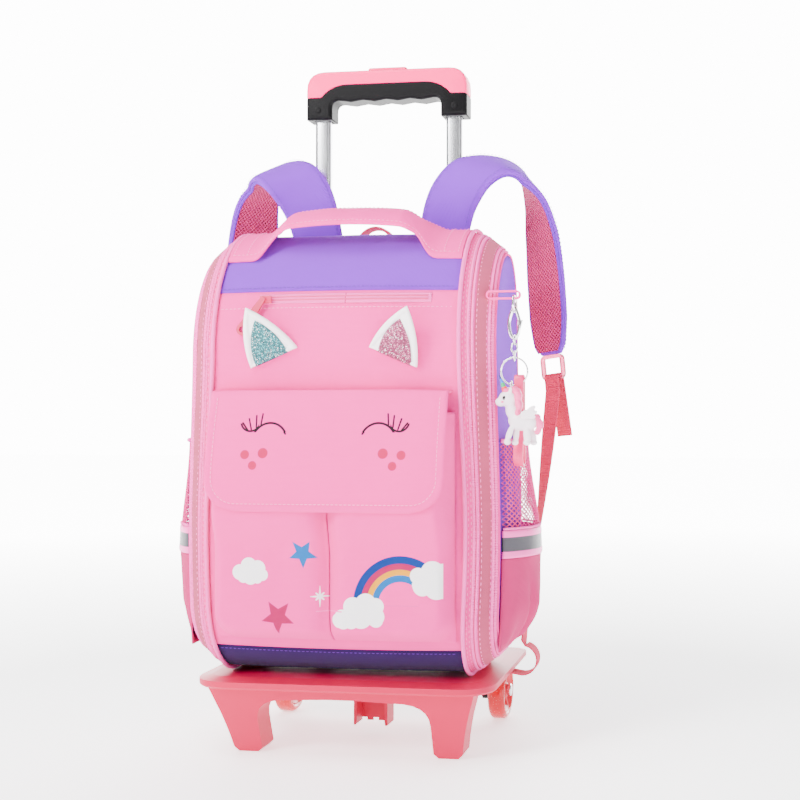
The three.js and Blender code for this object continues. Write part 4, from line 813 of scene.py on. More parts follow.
def flap_face(x, z):
    fallen = np.clip((FLAP_TOP - z) / (FLAP_TOP - FLAP_BOTTOM), 0, 1)
    start = front_at(x, FLAP_TOP + 0 * z) - FLAP_SHELF
    return start + (FLAP_FRONT - start) * np.sin(fallen * math.pi / 2)


def rounded_edge(x, z, half, bottom, corner):
    """How far inside an edge that has rounded lower corners a point lies."""
    dx = np.maximum(np.abs(x) - (half - corner), 0)
    dz = np.maximum(bottom + corner - z, 0)
    straight = np.minimum(half - np.abs(x), z - bottom)
    return np.where((dx > 0) & (dz > 0), corner - np.hypot(dx, dz), straight)


def pouch_face(x, z):
    """Y of a pouch's face."""
    edge = rounded_edge(x, z, POUCH_HALF, POUCH_BOTTOM, POUCH_CORNER)
    rise = np.sqrt(smoothstep(edge, -0.5, 13))
    off = np.abs(x) - PLEAT_GAP
    pleat = 1 - 0.30 * hump(off, 0, 7) - 0.12 * smoothstep(off, 24, 0)
    foot = front_at(x, z)
    full = foot - flap_face(x, z) - FLAP_WALL - 2 * SEAT
    depth = POUCH_DEPTH + (full - POUCH_DEPTH) * smoothstep(z, FLAP_BOTTOM - POUCH_SWELL, FLAP_BOTTOM)
    soft = 0.7 * bump_noise(x, z, 48, 91) + 0.35 * bump_noise(x, z, 19, 92)
    soft *= smoothstep(edge, 2, 18) * smoothstep(z, FLAP_BOTTOM + 6, FLAP_BOTTOM - 16)
    return foot - THIN_CLOTH - rise * (depth * pleat - THIN_CLOTH) - soft


def star(x, z, at, radius, inner, lean):
    """Signed distance to a five-pointed star with one point up."""
    dx, dz = x - at[0], z - at[1]
    sector = 2 * math.pi / 5
    angle = dz.do("ARCTAN2", dx) + (math.pi / 2 + lean + 20 * sector + sector / 2)
    folded = ((angle / sector).do("FRACT") * sector - sector / 2).size()
    reach = hypot(dx, dz)
    px, pz = reach * folded.do("COSINE"), reach * folded.do("SINE")
    ex, ez = inner * math.cos(sector / 2) - radius, inner * math.sin(sector / 2)
    length = math.hypot(ex, ez)
    return (px - radius) * (ez / length) - pz * (ex / length)


def disc(x, z, cx, cz, radius):
    return hypot(x - cx, z - cz) - radius


def discs(x, z, table):
    found = disc(x, z, *table[0])
    for row in table[1:]:
        found = found.low(disc(x, z, *row))
    return found


def bar(x, z, a, b, width):
    """Signed distance to a line between two points, with round ends."""
    bx, bz = b[0] - a[0], b[1] - a[1]
    dx, dz = x - a[0], z - a[1]
    share = ((dx * bx + dz * bz) / (bx * bx + bz * bz)).high(0).low(1)
    return hypot(dx - share * bx, dz - share * bz) - width


# Prints: the clouds are discs of x, z and radius
SMALL_CLOUD = ((-82.5, 179.5, 7.2), (-74, 185.5, 7.6), (-65.5, 183.5, 7.2), (-61.5, 177.5, 5.6),
               (-72.5, 175.5, 7.2), (-79, 176, 6.2), (-66, 174, 4.6))
LOW_CLOUD = ((14, 138.5, 9), (24, 150, 9), (36, 153, 9.6), (45, 151, 7.6), (44, 142, 9), (31, 141, 10.5),
             (22, 137.5, 7.5), (45, 138.5, 6.6), (9, 137, 6.5))
SIDE_CLOUD = ((84, 179, 7.4), (88, 170, 9), (97, 182, 10.5), (106, 181, 9), (101, 170, 12), (109, 170, 12),
              (85, 171, 6.5))
PRINT_END = 106
SPARKLE_X, SPARKLE_Z = -7.8, 158.6
SPARKLE_RAYS = ((0, 8), (90, 9.5), (45, 4.2), (135, 4.2))
ARCH_X, ARCH_Z = 68, 153
ARCH_BANDS = ((43.6, srgb(0.01, 0.18, 0.46)), (36.8, MAGENTA), (31.4, srgb(0.84, 0.56, 0.0)), (26.4, SKY),
              (20.4, PINK))

left_look = cloth_look("print_left", PINK)
x, _, z = left_look.place()
left_look.paint(discs(x, z, SMALL_CLOUD).inside(), WHITE)
left_look.paint(star(x, z, (-22.6, 197.6), 13.6, 6.1, -0.02).inside(), SKY)
left_look.paint(star(x, z, (-46.6, 139.6), 16.2, 7.2, 0.05).inside(), MAGENTA)
from_middle = hypot(x - SPARKLE_X, z - SPARKLE_Z)
rays = []
for degrees, reach in SPARKLE_RAYS:
    dx, dz = math.cos(math.radians(degrees)) * reach, math.sin(math.radians(degrees)) * reach
    ray = bar(x, z, (SPARKLE_X - dx, SPARKLE_Z - dz), (SPARKLE_X + dx, SPARKLE_Z + dz), 0)
    rays.append(ray - (from_middle * -0.09 + 1.0).high(0.15))
left_look.paint(rays[0].low(rays[1]).low(rays[2]).low(rays[3]).inside(), WHITE)
left_look.paint(bar(x, z, (-10.5, 145.2), (0, 145.2), 0.55).inside(), PINK_PALE)

right_look = cloth_look("print_right", PINK)
x, _, z = right_look.place()
right_end = ((x - 84) * 0.4).clamped()
above = (-(z - (ARCH_Z - 1) - right_end * 18)).inside() * (x - PRINT_END).inside()
for radius, color in ARCH_BANDS:
    right_look.paint(disc(x, z, ARCH_X, ARCH_Z, radius).inside() * above, color)
right_look.paint(discs(x, z, LOW_CLOUD).inside(), WHITE)
right_look.paint(discs(x, z, SIDE_CLOUD).high(x - PRINT_END).inside(), WHITE)
right_look.paint(bar(x, z, (0, 145.2), (13, 145.4), 0.55).inside(), PINK_PALE)

for (label, side), look in zip(SIDES, (left_look, right_look)):
    heights = POUCH_BOTTOM + (POUCH_TOP - POUCH_BOTTOM) * np.linspace(0, 1, 90) ** 1.15
    z, x = grid(heights, np.linspace(PLEAT_GAP, POUCH_HALF, 64) * side)
    outer = np.stack([x, pouch_face(x, z), z], axis=2)
    cloth_wall(f"front_pouch_{label}", outer, outer + (0, 1.5, 0), look.finish(), "pink_cloth",
               f"front_pocket_{label}")

# The face on the flap, the same on both sides: a closed eye, its lashes and three freckles
LASHES = (((70.8, 319.2), (68.0, 309.6), 0.75), ((64.0, 322.0), (63.4, 311.6), 0.75),
          ((58.2, 323.6), (59.2, 313.8), 0.75), ((76.4, 315.4), (71.5, 309.0), 0.85),
          ((36.9, 307.2), (35.6, 305.6), 0.8))
FRECKLES = ((72.2, 287, 4.1), (55.4, 288.4, 4.6), (64.6, 277.4, 3.9))

flap_look = cloth_look("flap_cloth", PINK)
x, _, z = flap_look.place()
half_x = x.size()
lid = (disc(half_x, z, 50.2, 299.2, 16.2).size() - 1.0).high(-(z - 307))
tail = (disc(half_x, z, 69.0, 317.0, 9.0).size() - 0.9).high(z - 315).high(-(half_x - 61))
mark = lid.low(tail)
for a, b, width in LASHES:
    mark = mark.low(bar(half_x, z, a, b, width))
flap_look.paint(mark.inside(), INK)
for freckle in FRECKLES:
    flap_look.paint(disc(half_x, z, *freckle).inside(), PINK_DEEP)


def flap_grid(rows=96, columns=90, fold=16):
    """The flap's middle surface: its first rows run forward from the panel to the fold, the rest hang."""
    points = np.zeros((rows, columns, 3))
    for r in range(rows):
        fallen = max(0, (r - fold) / (rows - 1 - fold))
        z = np.full(columns, FLAP_TOP + (FLAP_BOTTOM - FLAP_TOP) * fallen)
        corner = max(0, FLAP_BOTTOM + FLAP_CORNER - z[0])
        half = FLAP_HALF - FLAP_CORNER + math.sqrt(max(0, FLAP_CORNER ** 2 - corner ** 2))
        x = np.linspace(-half, half, columns)
        start = front_at(x, z)
        y = flap_face(x, z) if fallen > 0 else start + (flap_face(x, z) - start) * min(1, r / fold)
        points[r] = np.stack([x, y, z], axis=1)
    for _ in range(5):
        points[1:-1] = (points[:-2] + 2 * points[1:-1] + points[2:]) / 4
    return points


middle = flap_grid()
normal = unit(np.cross(np.gradient(middle, axis=0), np.gradient(middle, axis=1)))
if normal[60, 45, 1] > 0:
    normal = -normal
xs, zs = middle[..., 0], middle[..., 2]
rim = rounded_edge(xs, zs, FLAP_HALF, FLAP_BOTTOM, FLAP_CORNER)
# A rounded edge, the groove of its stitches, a padded middle and waves that fade towards the fold
relief = 1.4 * np.sqrt(smoothstep(rim, -0.4, 3.2)) - 1.4
relief += -0.9 * hump(rim, 7, 1.5) + 0.9 * smoothstep(rim, 8, 30)
relief += (0.7 * bump_noise(xs, zs, 52, 101) + 0.3 * bump_noise(xs, zs, 21, 102)) * smoothstep(rim, 8, 24)
relief *= smoothstep(np.arange(len(middle))[:, None], 2, 22)
thick = 2.8 * np.sqrt(np.clip(smoothstep(rim, -1.2, 3.0), 0.2, 1))
cloth_wall("flap", middle + normal * relief[..., None], middle - normal * thick[..., None],
           flap_look.finish(), "pink_cloth", "pocket_flap")

inset = 7.0
corner_x, corner_z = FLAP_HALF - FLAP_CORNER, FLAP_BOTTOM + FLAP_CORNER
edge_row = [(FLAP_HALF - inset, height) for height in np.linspace(FLAP_TOP - 6, corner_z, 24)]
edge_row += [(corner_x + (FLAP_CORNER - inset) * math.cos(a), corner_z - (FLAP_CORNER - inset) * math.sin(a))
             for a in np.linspace(0, math.pi / 2, 16)]
other_side = [(-px, pz) for px, pz in edge_row[::-1]]
edge_row += [(px, FLAP_BOTTOM + inset) for px in np.linspace(corner_x, -corner_x, 60)] + other_side
xs, zs = np.array(edge_row).T
path = np.stack([xs, flap_face(xs, zs) + 0.4, zs], axis=1)
stitch("pink_thread", path, path - (0, 1, 0), pitch=4.0)

# Ears

EAR_OUTER, EAR_INNER = np.array([79.0, 366.0]), np.array([34.0, 385.0])
EAR_HEIGHT, EAR_LEAN, EAR_BULGE, EAR_BEND, EAR_BORDER = 53, 0.47, 8, 2.2, 7
EAR_BASE_STEPS = 18
EAR_LENGTH = float(np.linalg.norm(EAR_INNER - EAR_OUTER))
ear_rise = math.atan2(EAR_INNER[1] - EAR_OUTER[1], EAR_OUTER[0] - EAR_INNER[0])
ear_foot = min(float(front_at(*place)) for place in (EAR_OUTER, EAR_INNER))


def ear_outline(border):
    """An ear in its own plane, its base along X, smaller all round by a border."""
    outer, inner = np.array([border * 0.8, 0.0]), np.array([EAR_LENGTH - border * 1.4, 0.0])
    tip = np.array([EAR_LENGTH * 0.5 + border * 0.35, EAR_HEIGHT - border * 1.9])

    def bow(a, b):
        away = unit(np.array([b[1] - a[1], a[0] - b[0]]))
        return quadratic(a, (a + b) / 2 + away * EAR_BULGE, b)[:-1]

    base = outer + (inner - outer) * np.linspace(0, 1, EAR_BASE_STEPS)[:, None]
    return np.concatenate([base[:-1], bow(inner, tip), bow(tip, outer)])


def on_ear(side, flat, height):
    """Points in an ear's own plane, bent back to its tip and moved to where the ear is sewn on."""
    theta, phi = math.pi / 2 + EAR_LEAN, -ear_rise
    x, y = flat[..., 0], flat[..., 1]
    z = height - EAR_BEND * (y / EAR_HEIGHT) ** 2
    y, z = y * math.cos(theta) - z * math.sin(theta), y * math.sin(theta) + z * math.cos(theta)
    x, z = x * math.cos(phi) + z * math.sin(phi), -x * math.sin(phi) + z * math.cos(phi)
    return np.stack([side * (EAR_OUTER[0] - x), y + ear_foot, z + EAR_OUTER[1]], axis=-1)


def glitter(name, base, painted_glint):
    look = Look(name, base, 0.35, Metallic=0.35)
    red, green, _ = look.parts(look.texture("ShaderNodeTexVoronoi", Scale=1300).outputs["Color"])
    # The lighter flakes and the white flakes are painted glints
    look.paint((red - 0.74) * 6, painted_glint)
    look.paint(((green - 0.90) * 12).clamped(), WHITE)
    look.paint(((-red + 0.22) * 7).clamped(), tuple(c * 0.45 for c in base[:3]) + (1,))
    return look.raise_by(green * 2).finish(0.9, 0.0006)


satin = Look("white_satin", WHITE, 0.6)
white_satin = satin.vary(30, 0.2, 0.93).raise_by(satin.noise(600)).finish(0.25)
glitters = {"left": glitter("teal_glitter", srgb(0.12, 0.36, 0.38), srgb(0.36, 0.72, 0.74)),
            "right": glitter("pink_glitter", srgb(0.50, 0.17, 0.32), srgb(0.86, 0.46, 0.62))}

for label, side in SIDES:
    for part, border, low, thick, material, slot in (
            ("ear", 0, 0.0, 2.4, white_satin, "white_cloth"),
            ("ear_inner", EAR_BORDER, 2.5, 1.0, glitters[label], "glitter")):
        rim = ear_outline(border)
        centre = rim.mean(axis=0)
        flat = centre + (rim[:, None, :] - centre) * (np.linspace(0, 1, 22) ** 0.8)[None, :, None]
        edge = np.linalg.norm(flat - rim[:, None, :], axis=2)
        # The ear has a puffed border with a groove inside it, and the glitter piece is slightly domed
        top = low + thick * np.sqrt(smoothstep(edge, -0.6, 1.6))
        if part == "ear":
            top += hump(edge, 3.2, 2.6) - 0.9 * hump(edge, 6.6, 1.1)
        else:
            top += 0.5 * smoothstep(edge, 1, 12)
        cloth_wall(f"{part}_cloth_{label}", on_ear(side, flat, top), on_ear(side, flat, low), material, slot,
                   f"{part}_{label}", loop=True)
    rim = ear_outline(0)
    spokes = rim - rim.mean(axis=0)
    row = (rim - 5.6 * unit(spokes))[EAR_BASE_STEPS:]
    stitch("white_thread", on_ear(side, row, 2.2), on_ear(side, row, 3.2), pitch=3.6, length=2.4, width=0.6)

# Front zip

ZIP_LOW, ZIP_HIGH, ZIP_LEFT, ZIP_RIGHT = 425, 434, -74, 90
COIL_INSET = 3.1
coil_paint = plastic("zip_coil", srgb(0.80, 0.10, 0.42), 0.5)
z, x = grid(np.linspace(ZIP_LOW, ZIP_HIGH, 14), np.linspace(ZIP_LEFT, ZIP_RIGHT, 80))
off = np.abs(z - (ZIP_LOW + ZIP_HIGH) / 2)
lift = 0.5 + 1.1 * smoothstep(off, 2.4, 1.4) + 0.6 * hump(off, 3.6, 0.7)
cloth_wall("front_zip_tape", on_front(x, z, lift), on_front(x, z, 0.1), zip_tape, "zip_tape", "front_zip")
for which, height in (("low", ZIP_LOW + COIL_INSET), ("high", ZIP_HIGH - COIL_INSET)):
    path = on_front(np.linspace(ZIP_LEFT + 4, ZIP_RIGHT - 3, 90), height, 1.5)
    skin(f"zip_coil_{which}", tube_rings(path, 0.75, 8), coil_paint, "zip_tape")
seam_row("pink_thread", share_at(ZIP_LOW - 4), 0.965)

polished = metal("polished_steel", srgb(0.86, 0.86, 0.87), 0.16)
slider_paint = plastic("zip_slider_paint", srgb(0.80, 0.06, 0.34), 0.3)
soft_rubber = plastic("soft_pink_rubber", srgb(0.74, 0.05, 0.30), 0.6)
dressed("zip_slider", "slider", slider_paint, bevel=0.8, segments=3)
dressed("zip_pull", "pull_tab", soft_rubber, bevel=0.5)

# Carry handle: lies on the brow at its ends and lifts off in the middle

HANDLE_FREE, HANDLE_SEWN, HANDLE_END = 52, 92, PANEL_HALF - 2.4
HANDLE_LIFT, HANDLE_HALF, HANDLE_WALL, HANDLE_PAD = 24, 15, 3, 2.4
HANDLE_CROSS_SEAM = 96
handle_front, handle_back = front_share(HANDLE_SEAM), top_share(HANDLE_BACK)


def handle_freedom(x):
    """0 where the handle is sewn down and 1 where it is free."""
    return 1 - smoothstep(np.abs(x), HANDLE_FREE, HANDLE_SEWN)


def handle_point(x, c, out):
    free = handle_freedom(x)
    narrow = smoothstep(free, 0, 0.7)
    half = (handle_back - handle_front) / 2 * (1 - narrow) + HANDLE_HALF / LENGTH * narrow
    lift = HANDLE_LIFT * free * (1 - 0.12 * (x / HANDLE_FREE) ** 2)
    share = (handle_front + handle_back) / 2 + (2 * c - 1) * half
    return panel_point(share, x / PANEL_HALF, 2 * SEAT + lift + out)


x, c = grid(np.linspace(-HANDLE_END, HANDLE_END, 130), np.linspace(0, 1, 30))
free = handle_freedom(x)
# Padded where it is free, with rounded edges, soft waves and the grooves of its stitches
round_edge = np.sqrt(smoothstep(np.minimum(c, 1 - c), -0.02, 0.12))
top = (HANDLE_WALL + HANDLE_PAD * free * np.sin(math.pi * c)) * (0.35 + 0.65 * round_edge)
top += 0.5 * bump_noise(x, c * 40, 22, 121) * free + 0.3 * bump_noise(x, c * 40, 30, 122)
top -= 0.5 * (hump(c, 0.11, 0.03) + hump(c, 0.89, 0.03))
cloth_wall("carry_handle_cloth", handle_point(x, c, top), handle_point(x, c, 0.3 * (1 - round_edge) * free),
           pink_cloth, "pink_cloth", "carry_handle")
for c in (0.10, 0.90):
    x = np.linspace(3 - HANDLE_END, HANDLE_END - 3, 160)
    rise = (HANDLE_WALL + HANDLE_PAD * handle_freedom(x) * math.sin(math.pi * c)) * 0.93
    stitch("pink_thread", handle_point(x, c, rise), handle_point(x, c, rise + 2))
for x in (4 - HANDLE_END, -HANDLE_CROSS_SEAM, HANDLE_END - 4, HANDLE_CROSS_SEAM):
    c = np.linspace(0.08, 0.92, 30)
    stitch("pink_thread", handle_point(x + 0 * c, c, 3.1), handle_point(x + 0 * c, c, 5))

# Shoulder straps: the right one's line, the direction across it and its width, listed

STATIONS = (
    ((64, 112, 468), (1, 0, 0), 50), ((66, 112, 492), (1, -0.03, -0.04), 52),
    ((70, 107, 520), (1, -0.06, -0.1), 54), ((80, 104, 548), (0.92, -0.2, -0.34), 57),
    ((99, 104, 570), (0.78, -0.42, -0.46), 58),
    ((122, 116, 580), (0.5, -0.72, -0.44), 58), ((143, 133, 573), (0.2, -0.93, -0.33), 58),
    ((157, 143, 549), (0.45, -0.87, -0.18), 58), ((164, 148, 512), (0.66, -0.75, -0.08), 58),
    ((168, 149, 468), (0.75, -0.66, 0), 57), ((171, 149, 424), (0.8, -0.6, 0.03), 53),
    ((173, 148, 396), (0.81, -0.58, 0.04), 42), ((174, 148, 386), (0.81, -0.58, 0.04), 28),
)
STRAP_ROOT, STRAP_REACH, STRAP_HALF_THICK = 64, {"left": 0.9, "right": 1.0}, 4.5
STRAP_STEPS = 150
STRAP_RUN = 300


def strap_places(label, side):
    spread = STRAP_REACH[label]
    return [(side * (STRAP_ROOT + (x - STRAP_ROOT) * spread), y, z) for (x, y, z), _, _ in STATIONS]


def strap_frames(label, side):
    at = catmull(strap_places(label, side), STRAP_STEPS)
    across = catmull([(side * x, y, z) for _, (x, y, z), _ in STATIONS], STRAP_STEPS)
    tangent = unit(np.gradient(at, axis=0))
    across = squared_to(tangent, across)
    stations = np.linspace(0, len(STATIONS) - 1, STRAP_STEPS)
    width = np.interp(stations, range(len(STATIONS)), [row[2] for row in STATIONS])
    return at, across, np.cross(tangent, across) * side, width / 2


mesh_look = Look("air_mesh", NET_PINK, 0.85, Specular_IOR_Level=0.2)
mesh_look.vary(9, 0.2)
u, v = mesh_look.along()
diamond = ((u + v).wave(8.8) * (u - v).wave(8.8)).size()
# The mesh's holes are painted darker: painted shade inside them
mesh_look.paint(((diamond - 0.45) * 4).clamped(), srgb(0.60, 0.06, 0.26))
air_mesh = mesh_look.raise_by(diamond * -4).finish(0.8, 0.0012)
binding = cloth_look("purple_binding", srgb(0.42, 0.08, 0.72), weave=0.9).finish()

for label, side in SIDES:
    at, across, out, half = strap_frames(label, side)
    run = np.linspace(0, 1, STRAP_STEPS) * STRAP_RUN
    ends_in = np.sqrt(smoothstep(np.minimum(run, STRAP_RUN - run), -2, 10))[:, None] * 0.35 + 0.65
    inner_part = slice(8, STRAP_STEPS - 4)

    def on_strap(over, off):
        """Points at a share of the half width over the strap, and at a share of its half thickness off it."""
        return at[:, None, :] + across[:, None, :] * (over * half[:, None])[..., None] + (
            out[:, None, :] * (STRAP_HALF_THICK * off)[..., None])

    cosine, sine = np.cos(circle(32)), np.sin(circle(32))
    a = (np.sign(cosine) * np.abs(cosine) ** 0.55)[None, :]
    b = (np.sign(sine) * np.abs(sine) ** 0.8)[None, :]
    puff = 1 + 0.05 * bump_noise(run[:, None], a * 25, 30, 131 + side)
    strap = skin(f"strap_{label}", on_strap(a * 0.985, b * puff * ends_in), purple_cloth, "purple_cloth",
                 f"shoulder_strap_{label}")

    w = np.linspace(-0.86, 0.86, 24)[None, :]
    creases = np.sin(run[:, None] / 5 + 2 * w) * smoothstep(np.abs(run - 105), 40, 5)[:, None] * (1 - w ** 2)
    bulge = (1 - 0.10 * np.abs(w) ** 3) * ends_in + 0.5 / STRAP_HALF_THICK * creases
    face, back = (on_strap(w, bulge + off / STRAP_HALF_THICK)[inner_part] for off in (0.7, -0.8))
    cloth_wall(f"strap_mesh_{label}", face, back, air_mesh, "net")
    for name, over in (("strap_binding", -0.9), ("strap_binding_rear", 0.9)):
        edge = on_strap(np.array([[over]]), 0.80 * ends_in)[inner_part, 0]
        skin(f"{name}_{label}", tube_rings(edge, 1.5, 8), binding, "purple_cloth")
    for over in (-0.84, 0.84):
        path = on_strap(np.array([[over]]), -0.94 * ends_in)[inner_part, 0]
        stitch("purple_thread", path, path - out[inner_part])

# Buckles and webbing

BUCKLE_LENGTH, BUCKLE_THICK, BUCKLE_BAR = 26, 4, 4
WEB_HALF_THICK, WEB_HALF = 0.7, 10
WEB_FOOT, WEB_SLACK, WEB_BEHIND, TAIL, TAIL_SWING = (153.5, 110, 112), 9, 14, 62, 4
TRAY_HALF, TRAY_UNDER = 145, 66
LOOP_Y, LOOP_RADIUS, WEB_RETURN = 98, 15, 12
LOOP_Z = (BOTTOM + TRAY_UNDER) / 2 + LOOP_RADIUS / 4
WEB_SECTION = [(a, b) for b, row in ((-1, (-1, -0.5, 0, 0.5, 1)), (1, (1, 0.5, 0, -0.5, -1))) for a in row]

web_look = cloth_look("webbing", WEB_PINK, weave=1.5)
u, v = web_look.along()
web_look.raise_by((v * (2 * math.pi / 2.2) + u.wave(2.8)).do("SINE") * 1.6)
webbing = web_look.finish(0.6, 0.0007)
clear = plastic("clear_pink_plastic", srgb(0.93, 0.40, 0.55), 0.14, Transmission_Weight=0.55, IOR=1.46)


def webbing_line(label, side):
    """The webbing's line and the directions across it: tail, turn, run to the foot, loop and return."""
    before, end = (np.array(place) for place in strap_places(label, side)[-2:])
    up = unit(before - end)
    x, y, z = STATIONS[-1][1]
    across = squared_to(up, np.array((side * x, y, z)))
    out = np.cross(across, up) * -side
    origin = end + up * (-SEAT - BUCKLE_LENGTH + BUCKLE_BAR / 2)
    turn = math.hypot(BUCKLE_THICK, BUCKLE_BAR) / 2 + SEAT + WEB_HALF_THICK

    def around(angle, drop):
        return origin + out * turn * math.cos(angle) + up * (turn * math.sin(angle) - drop)

    line = [around(0, TAIL) + out * TAIL_SWING, around(0, TAIL / 2) + out * TAIL_SWING / 2]
    line += [around(i * math.pi / 8, 0) for i in range(9)]
    widths = [across] * len(line)
    level = np.array((0, -side, 0))
    top, foot = around(math.pi, WEB_BEHIND), np.array((side * WEB_FOOT[0], *WEB_FOOT[1:]))
    for share in np.linspace(0, 1, 9):
        line.append(top + (foot - top) * share + np.array((0, WEB_SLACK * math.sin(math.pi * share), 0)))
        turned_by = smoothstep(share, 0, 1)
        widths.append(across * (1 - turned_by) + level * turned_by)
    for angle in np.linspace(0.5, -0.5, 13) * math.pi:
        x = TRAY_HALF + LOOP_RADIUS / 2 + LOOP_RADIUS * math.cos(angle)
        line.append(np.array((side * x, LOOP_Y, LOOP_Z + LOOP_RADIUS * math.sin(angle))))
        widths.append(level)
    line.append(np.array((side * (TRAY_HALF - WEB_RETURN), LOOP_Y, TRAY_UNDER - SEAT - WEB_HALF_THICK)))
    widths.append(level)
    return np.array(line), np.array(widths, float)


for label, side in SIDES:
    dressed(f"buckle_{label}", f"ladder_buckle_{label}", clear, bevel=0.9, segments=3)
    line, widths = webbing_line(label, side)
    tangent = unit(np.gradient(line, axis=0))
    widths = squared_to(tangent, widths)
    rings = band_rings(line, widths, np.cross(tangent, widths), WEB_SECTION, WEB_HALF, WEB_HALF_THICK)
    skin(f"webbing_{label}", rings, webbing, "webbing", f"strap_webbing_{label}", angle=50)

# Hang loop


def box_mm(node):
    """A node's lowest and highest corner, in millimetres from the CAD source's origin."""
    return [(np.array(corner) - SHIFT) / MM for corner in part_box(node)]


HANG_HALF, HANG_RISE, HANG_FOOT = 21, 26, 488
HANG_HALF_WIDTH, HANG_HALF_THICK = 8, 1.5
HANG_SECTION = [(-1, -0.6), (-0.7, -1), (0, -1), (0.7, -1), (1, -0.6),
                (1, 0.6), (0.7, 1), (0, 1), (-0.7, 1), (-1, 0.6)]
low, high = box_mm("hang_loop")
angles = np.linspace(math.pi, 0, 40)
hang_y = np.full(40, (low + high)[1] / 2)
path = np.stack([HANG_HALF * np.cos(angles), hang_y, HANG_FOOT + HANG_RISE * np.sin(angles)], axis=1)
level = np.tile((0.0, 1.0, 0.0), (40, 1))
outward = np.cross(unit(np.gradient(path, axis=0)), level)
rings = band_rings(path, level, outward, HANG_SECTION, HANG_HALF_WIDTH, HANG_HALF_THICK)
skin("hang_loop_web", rings, webbing, "webbing", "hang_loop", angle=60)

# Back pad

PAD_HALF, PAD_BOTTOM, PAD_TOP, PAD_REACH = 96, 118, 462, 14.3
u, v = np.meshgrid(np.linspace(-1, 1, 90), np.linspace(-1, 1, 110))
puff = (1 - u ** 4) * (1 - v ** 6)
channel = 3.2 * hump(u, 0, 0.07)
for at in (-0.55, -0.1, 0.35):
    channel = np.maximum(channel, 2.6 * hump(v - 0.10 * u ** 2, at, 0.022))
deep = SEAT + 2 + 12 * puff - channel * puff + 0.4 * bump_noise(u * 96, v * 172, 34, 141) * puff
height = PAD_BOTTOM + (PAD_TOP - PAD_BOTTOM) * (v + 1) / 2
outer = np.stack([u * PAD_HALF, BACK + np.minimum(deep, PAD_REACH), height], axis=2)
inner = np.stack([u * PAD_HALF, np.full_like(u, BACK + SEAT), height], axis=2)
pad = cloth_wall("back_cushion", outer, inner, air_mesh, "net", "back_pad")
corners = np.array([(-PAD_HALF, BACK + 2, PAD_BOTTOM), (PAD_HALF, BACK + 2, PAD_BOTTOM),
                    (PAD_HALF, BACK + 2, PAD_TOP), (-PAD_HALF, BACK + 2, PAD_TOP)], float)
rim = np.concatenate([np.linspace(a, b, count, endpoint=False)
                      for a, b, count in zip(corners, np.roll(corners, -1, axis=0), (59, 89, 59, 89))])
skin("back_binding", tube_rings(rim, 1.8, 8, True), binding, "purple_cloth", loop=True)

# Trolley

base_look = Look("base_plastic", BASE_RED, 0.42, Specular_IOR_Level=0.18)
base_plastic = base_look.vary(7, 0.15, 0.92).raise_by(base_look.noise(500)).finish(0.10, 0.0002)
black = plastic("black_plastic", srgb(0.05, 0.048, 0.052), 0.42, 0.3, Specular_IOR_Level=0.06)
cap_pink = plastic("grip_plastic", GRIP_PINK, 0.4, 0.08, Specular_IOR_Level=0.18)
brushed = metal("brushed_aluminium", srgb(0.88, 0.88, 0.90), 0.24, scale=60, stretch=(30, 30, 0.4))
dressed("trolley_base", "base", base_plastic, bevel=0.9, angle=28, segments=3)
dressed("axle_carrier", "carrier", black, bevel=0.8)
dressed("grip_housing", "grip_shell", black, bevel=1.0, angle=28, body="handle", segments=3)
dressed("grip_cap", "grip_cover", cap_pink, bevel=1.0, angle=28, body="handle", segments=3)
dressed("push_button", "button", cap_pink, bevel=0.5, body="push_button", segments=3)
for label, side in SIDES:
    dressed(f"outer_tube_{label}", f"outer_{label}", brushed, angle=35)
    dressed(f"inner_tube_{label}", f"inner_{label}", brushed, angle=35, body="handle")


def rounded_profile(points, radius, steps):
    """A closed profile with its corners rounded."""
    points = np.asarray(points, float)
    found = []
    for before, at, after in zip(np.roll(points, 1, axis=0), points, np.roll(points, -1, axis=0)):
        a, b = before - at, after - at
        reach = min(radius, np.linalg.norm(a) * 0.45, np.linalg.norm(b) * 0.45)
        found.append(quadratic(at + unit(a) * reach, at, at + unit(b) * reach, steps))
    return np.concatenate(found)


def turned_rings(profile, centre, sides):
    """A profile of place along X and radius, turned on X."""
    along, radius = profile.T
    return np.array([centre + np.stack([along, radius * math.cos(t), radius * math.sin(t)], axis=1)
                     for t in circle(sides)])


tyre_look = Look("clear_tyre", srgb(0.92, 0.03, 0.16), 0.16, Transmission_Weight=0.45, IOR=1.45)
flakes = Value(tyre_look.tree, tyre_look.texture("ShaderNodeTexVoronoi", Scale=420).outputs["Distance"])
tyre_look.paint(((-flakes + 0.22) * 6).clamped(), srgb(0.98, 0.66, 0.60))
clear_tyre = tyre_look.raise_by(tyre_look.noise(300)).finish(0.15, 0.0004)
hub_plastic = plastic("hub_plastic", srgb(0.85, 0.02, 0.20), 0.3)

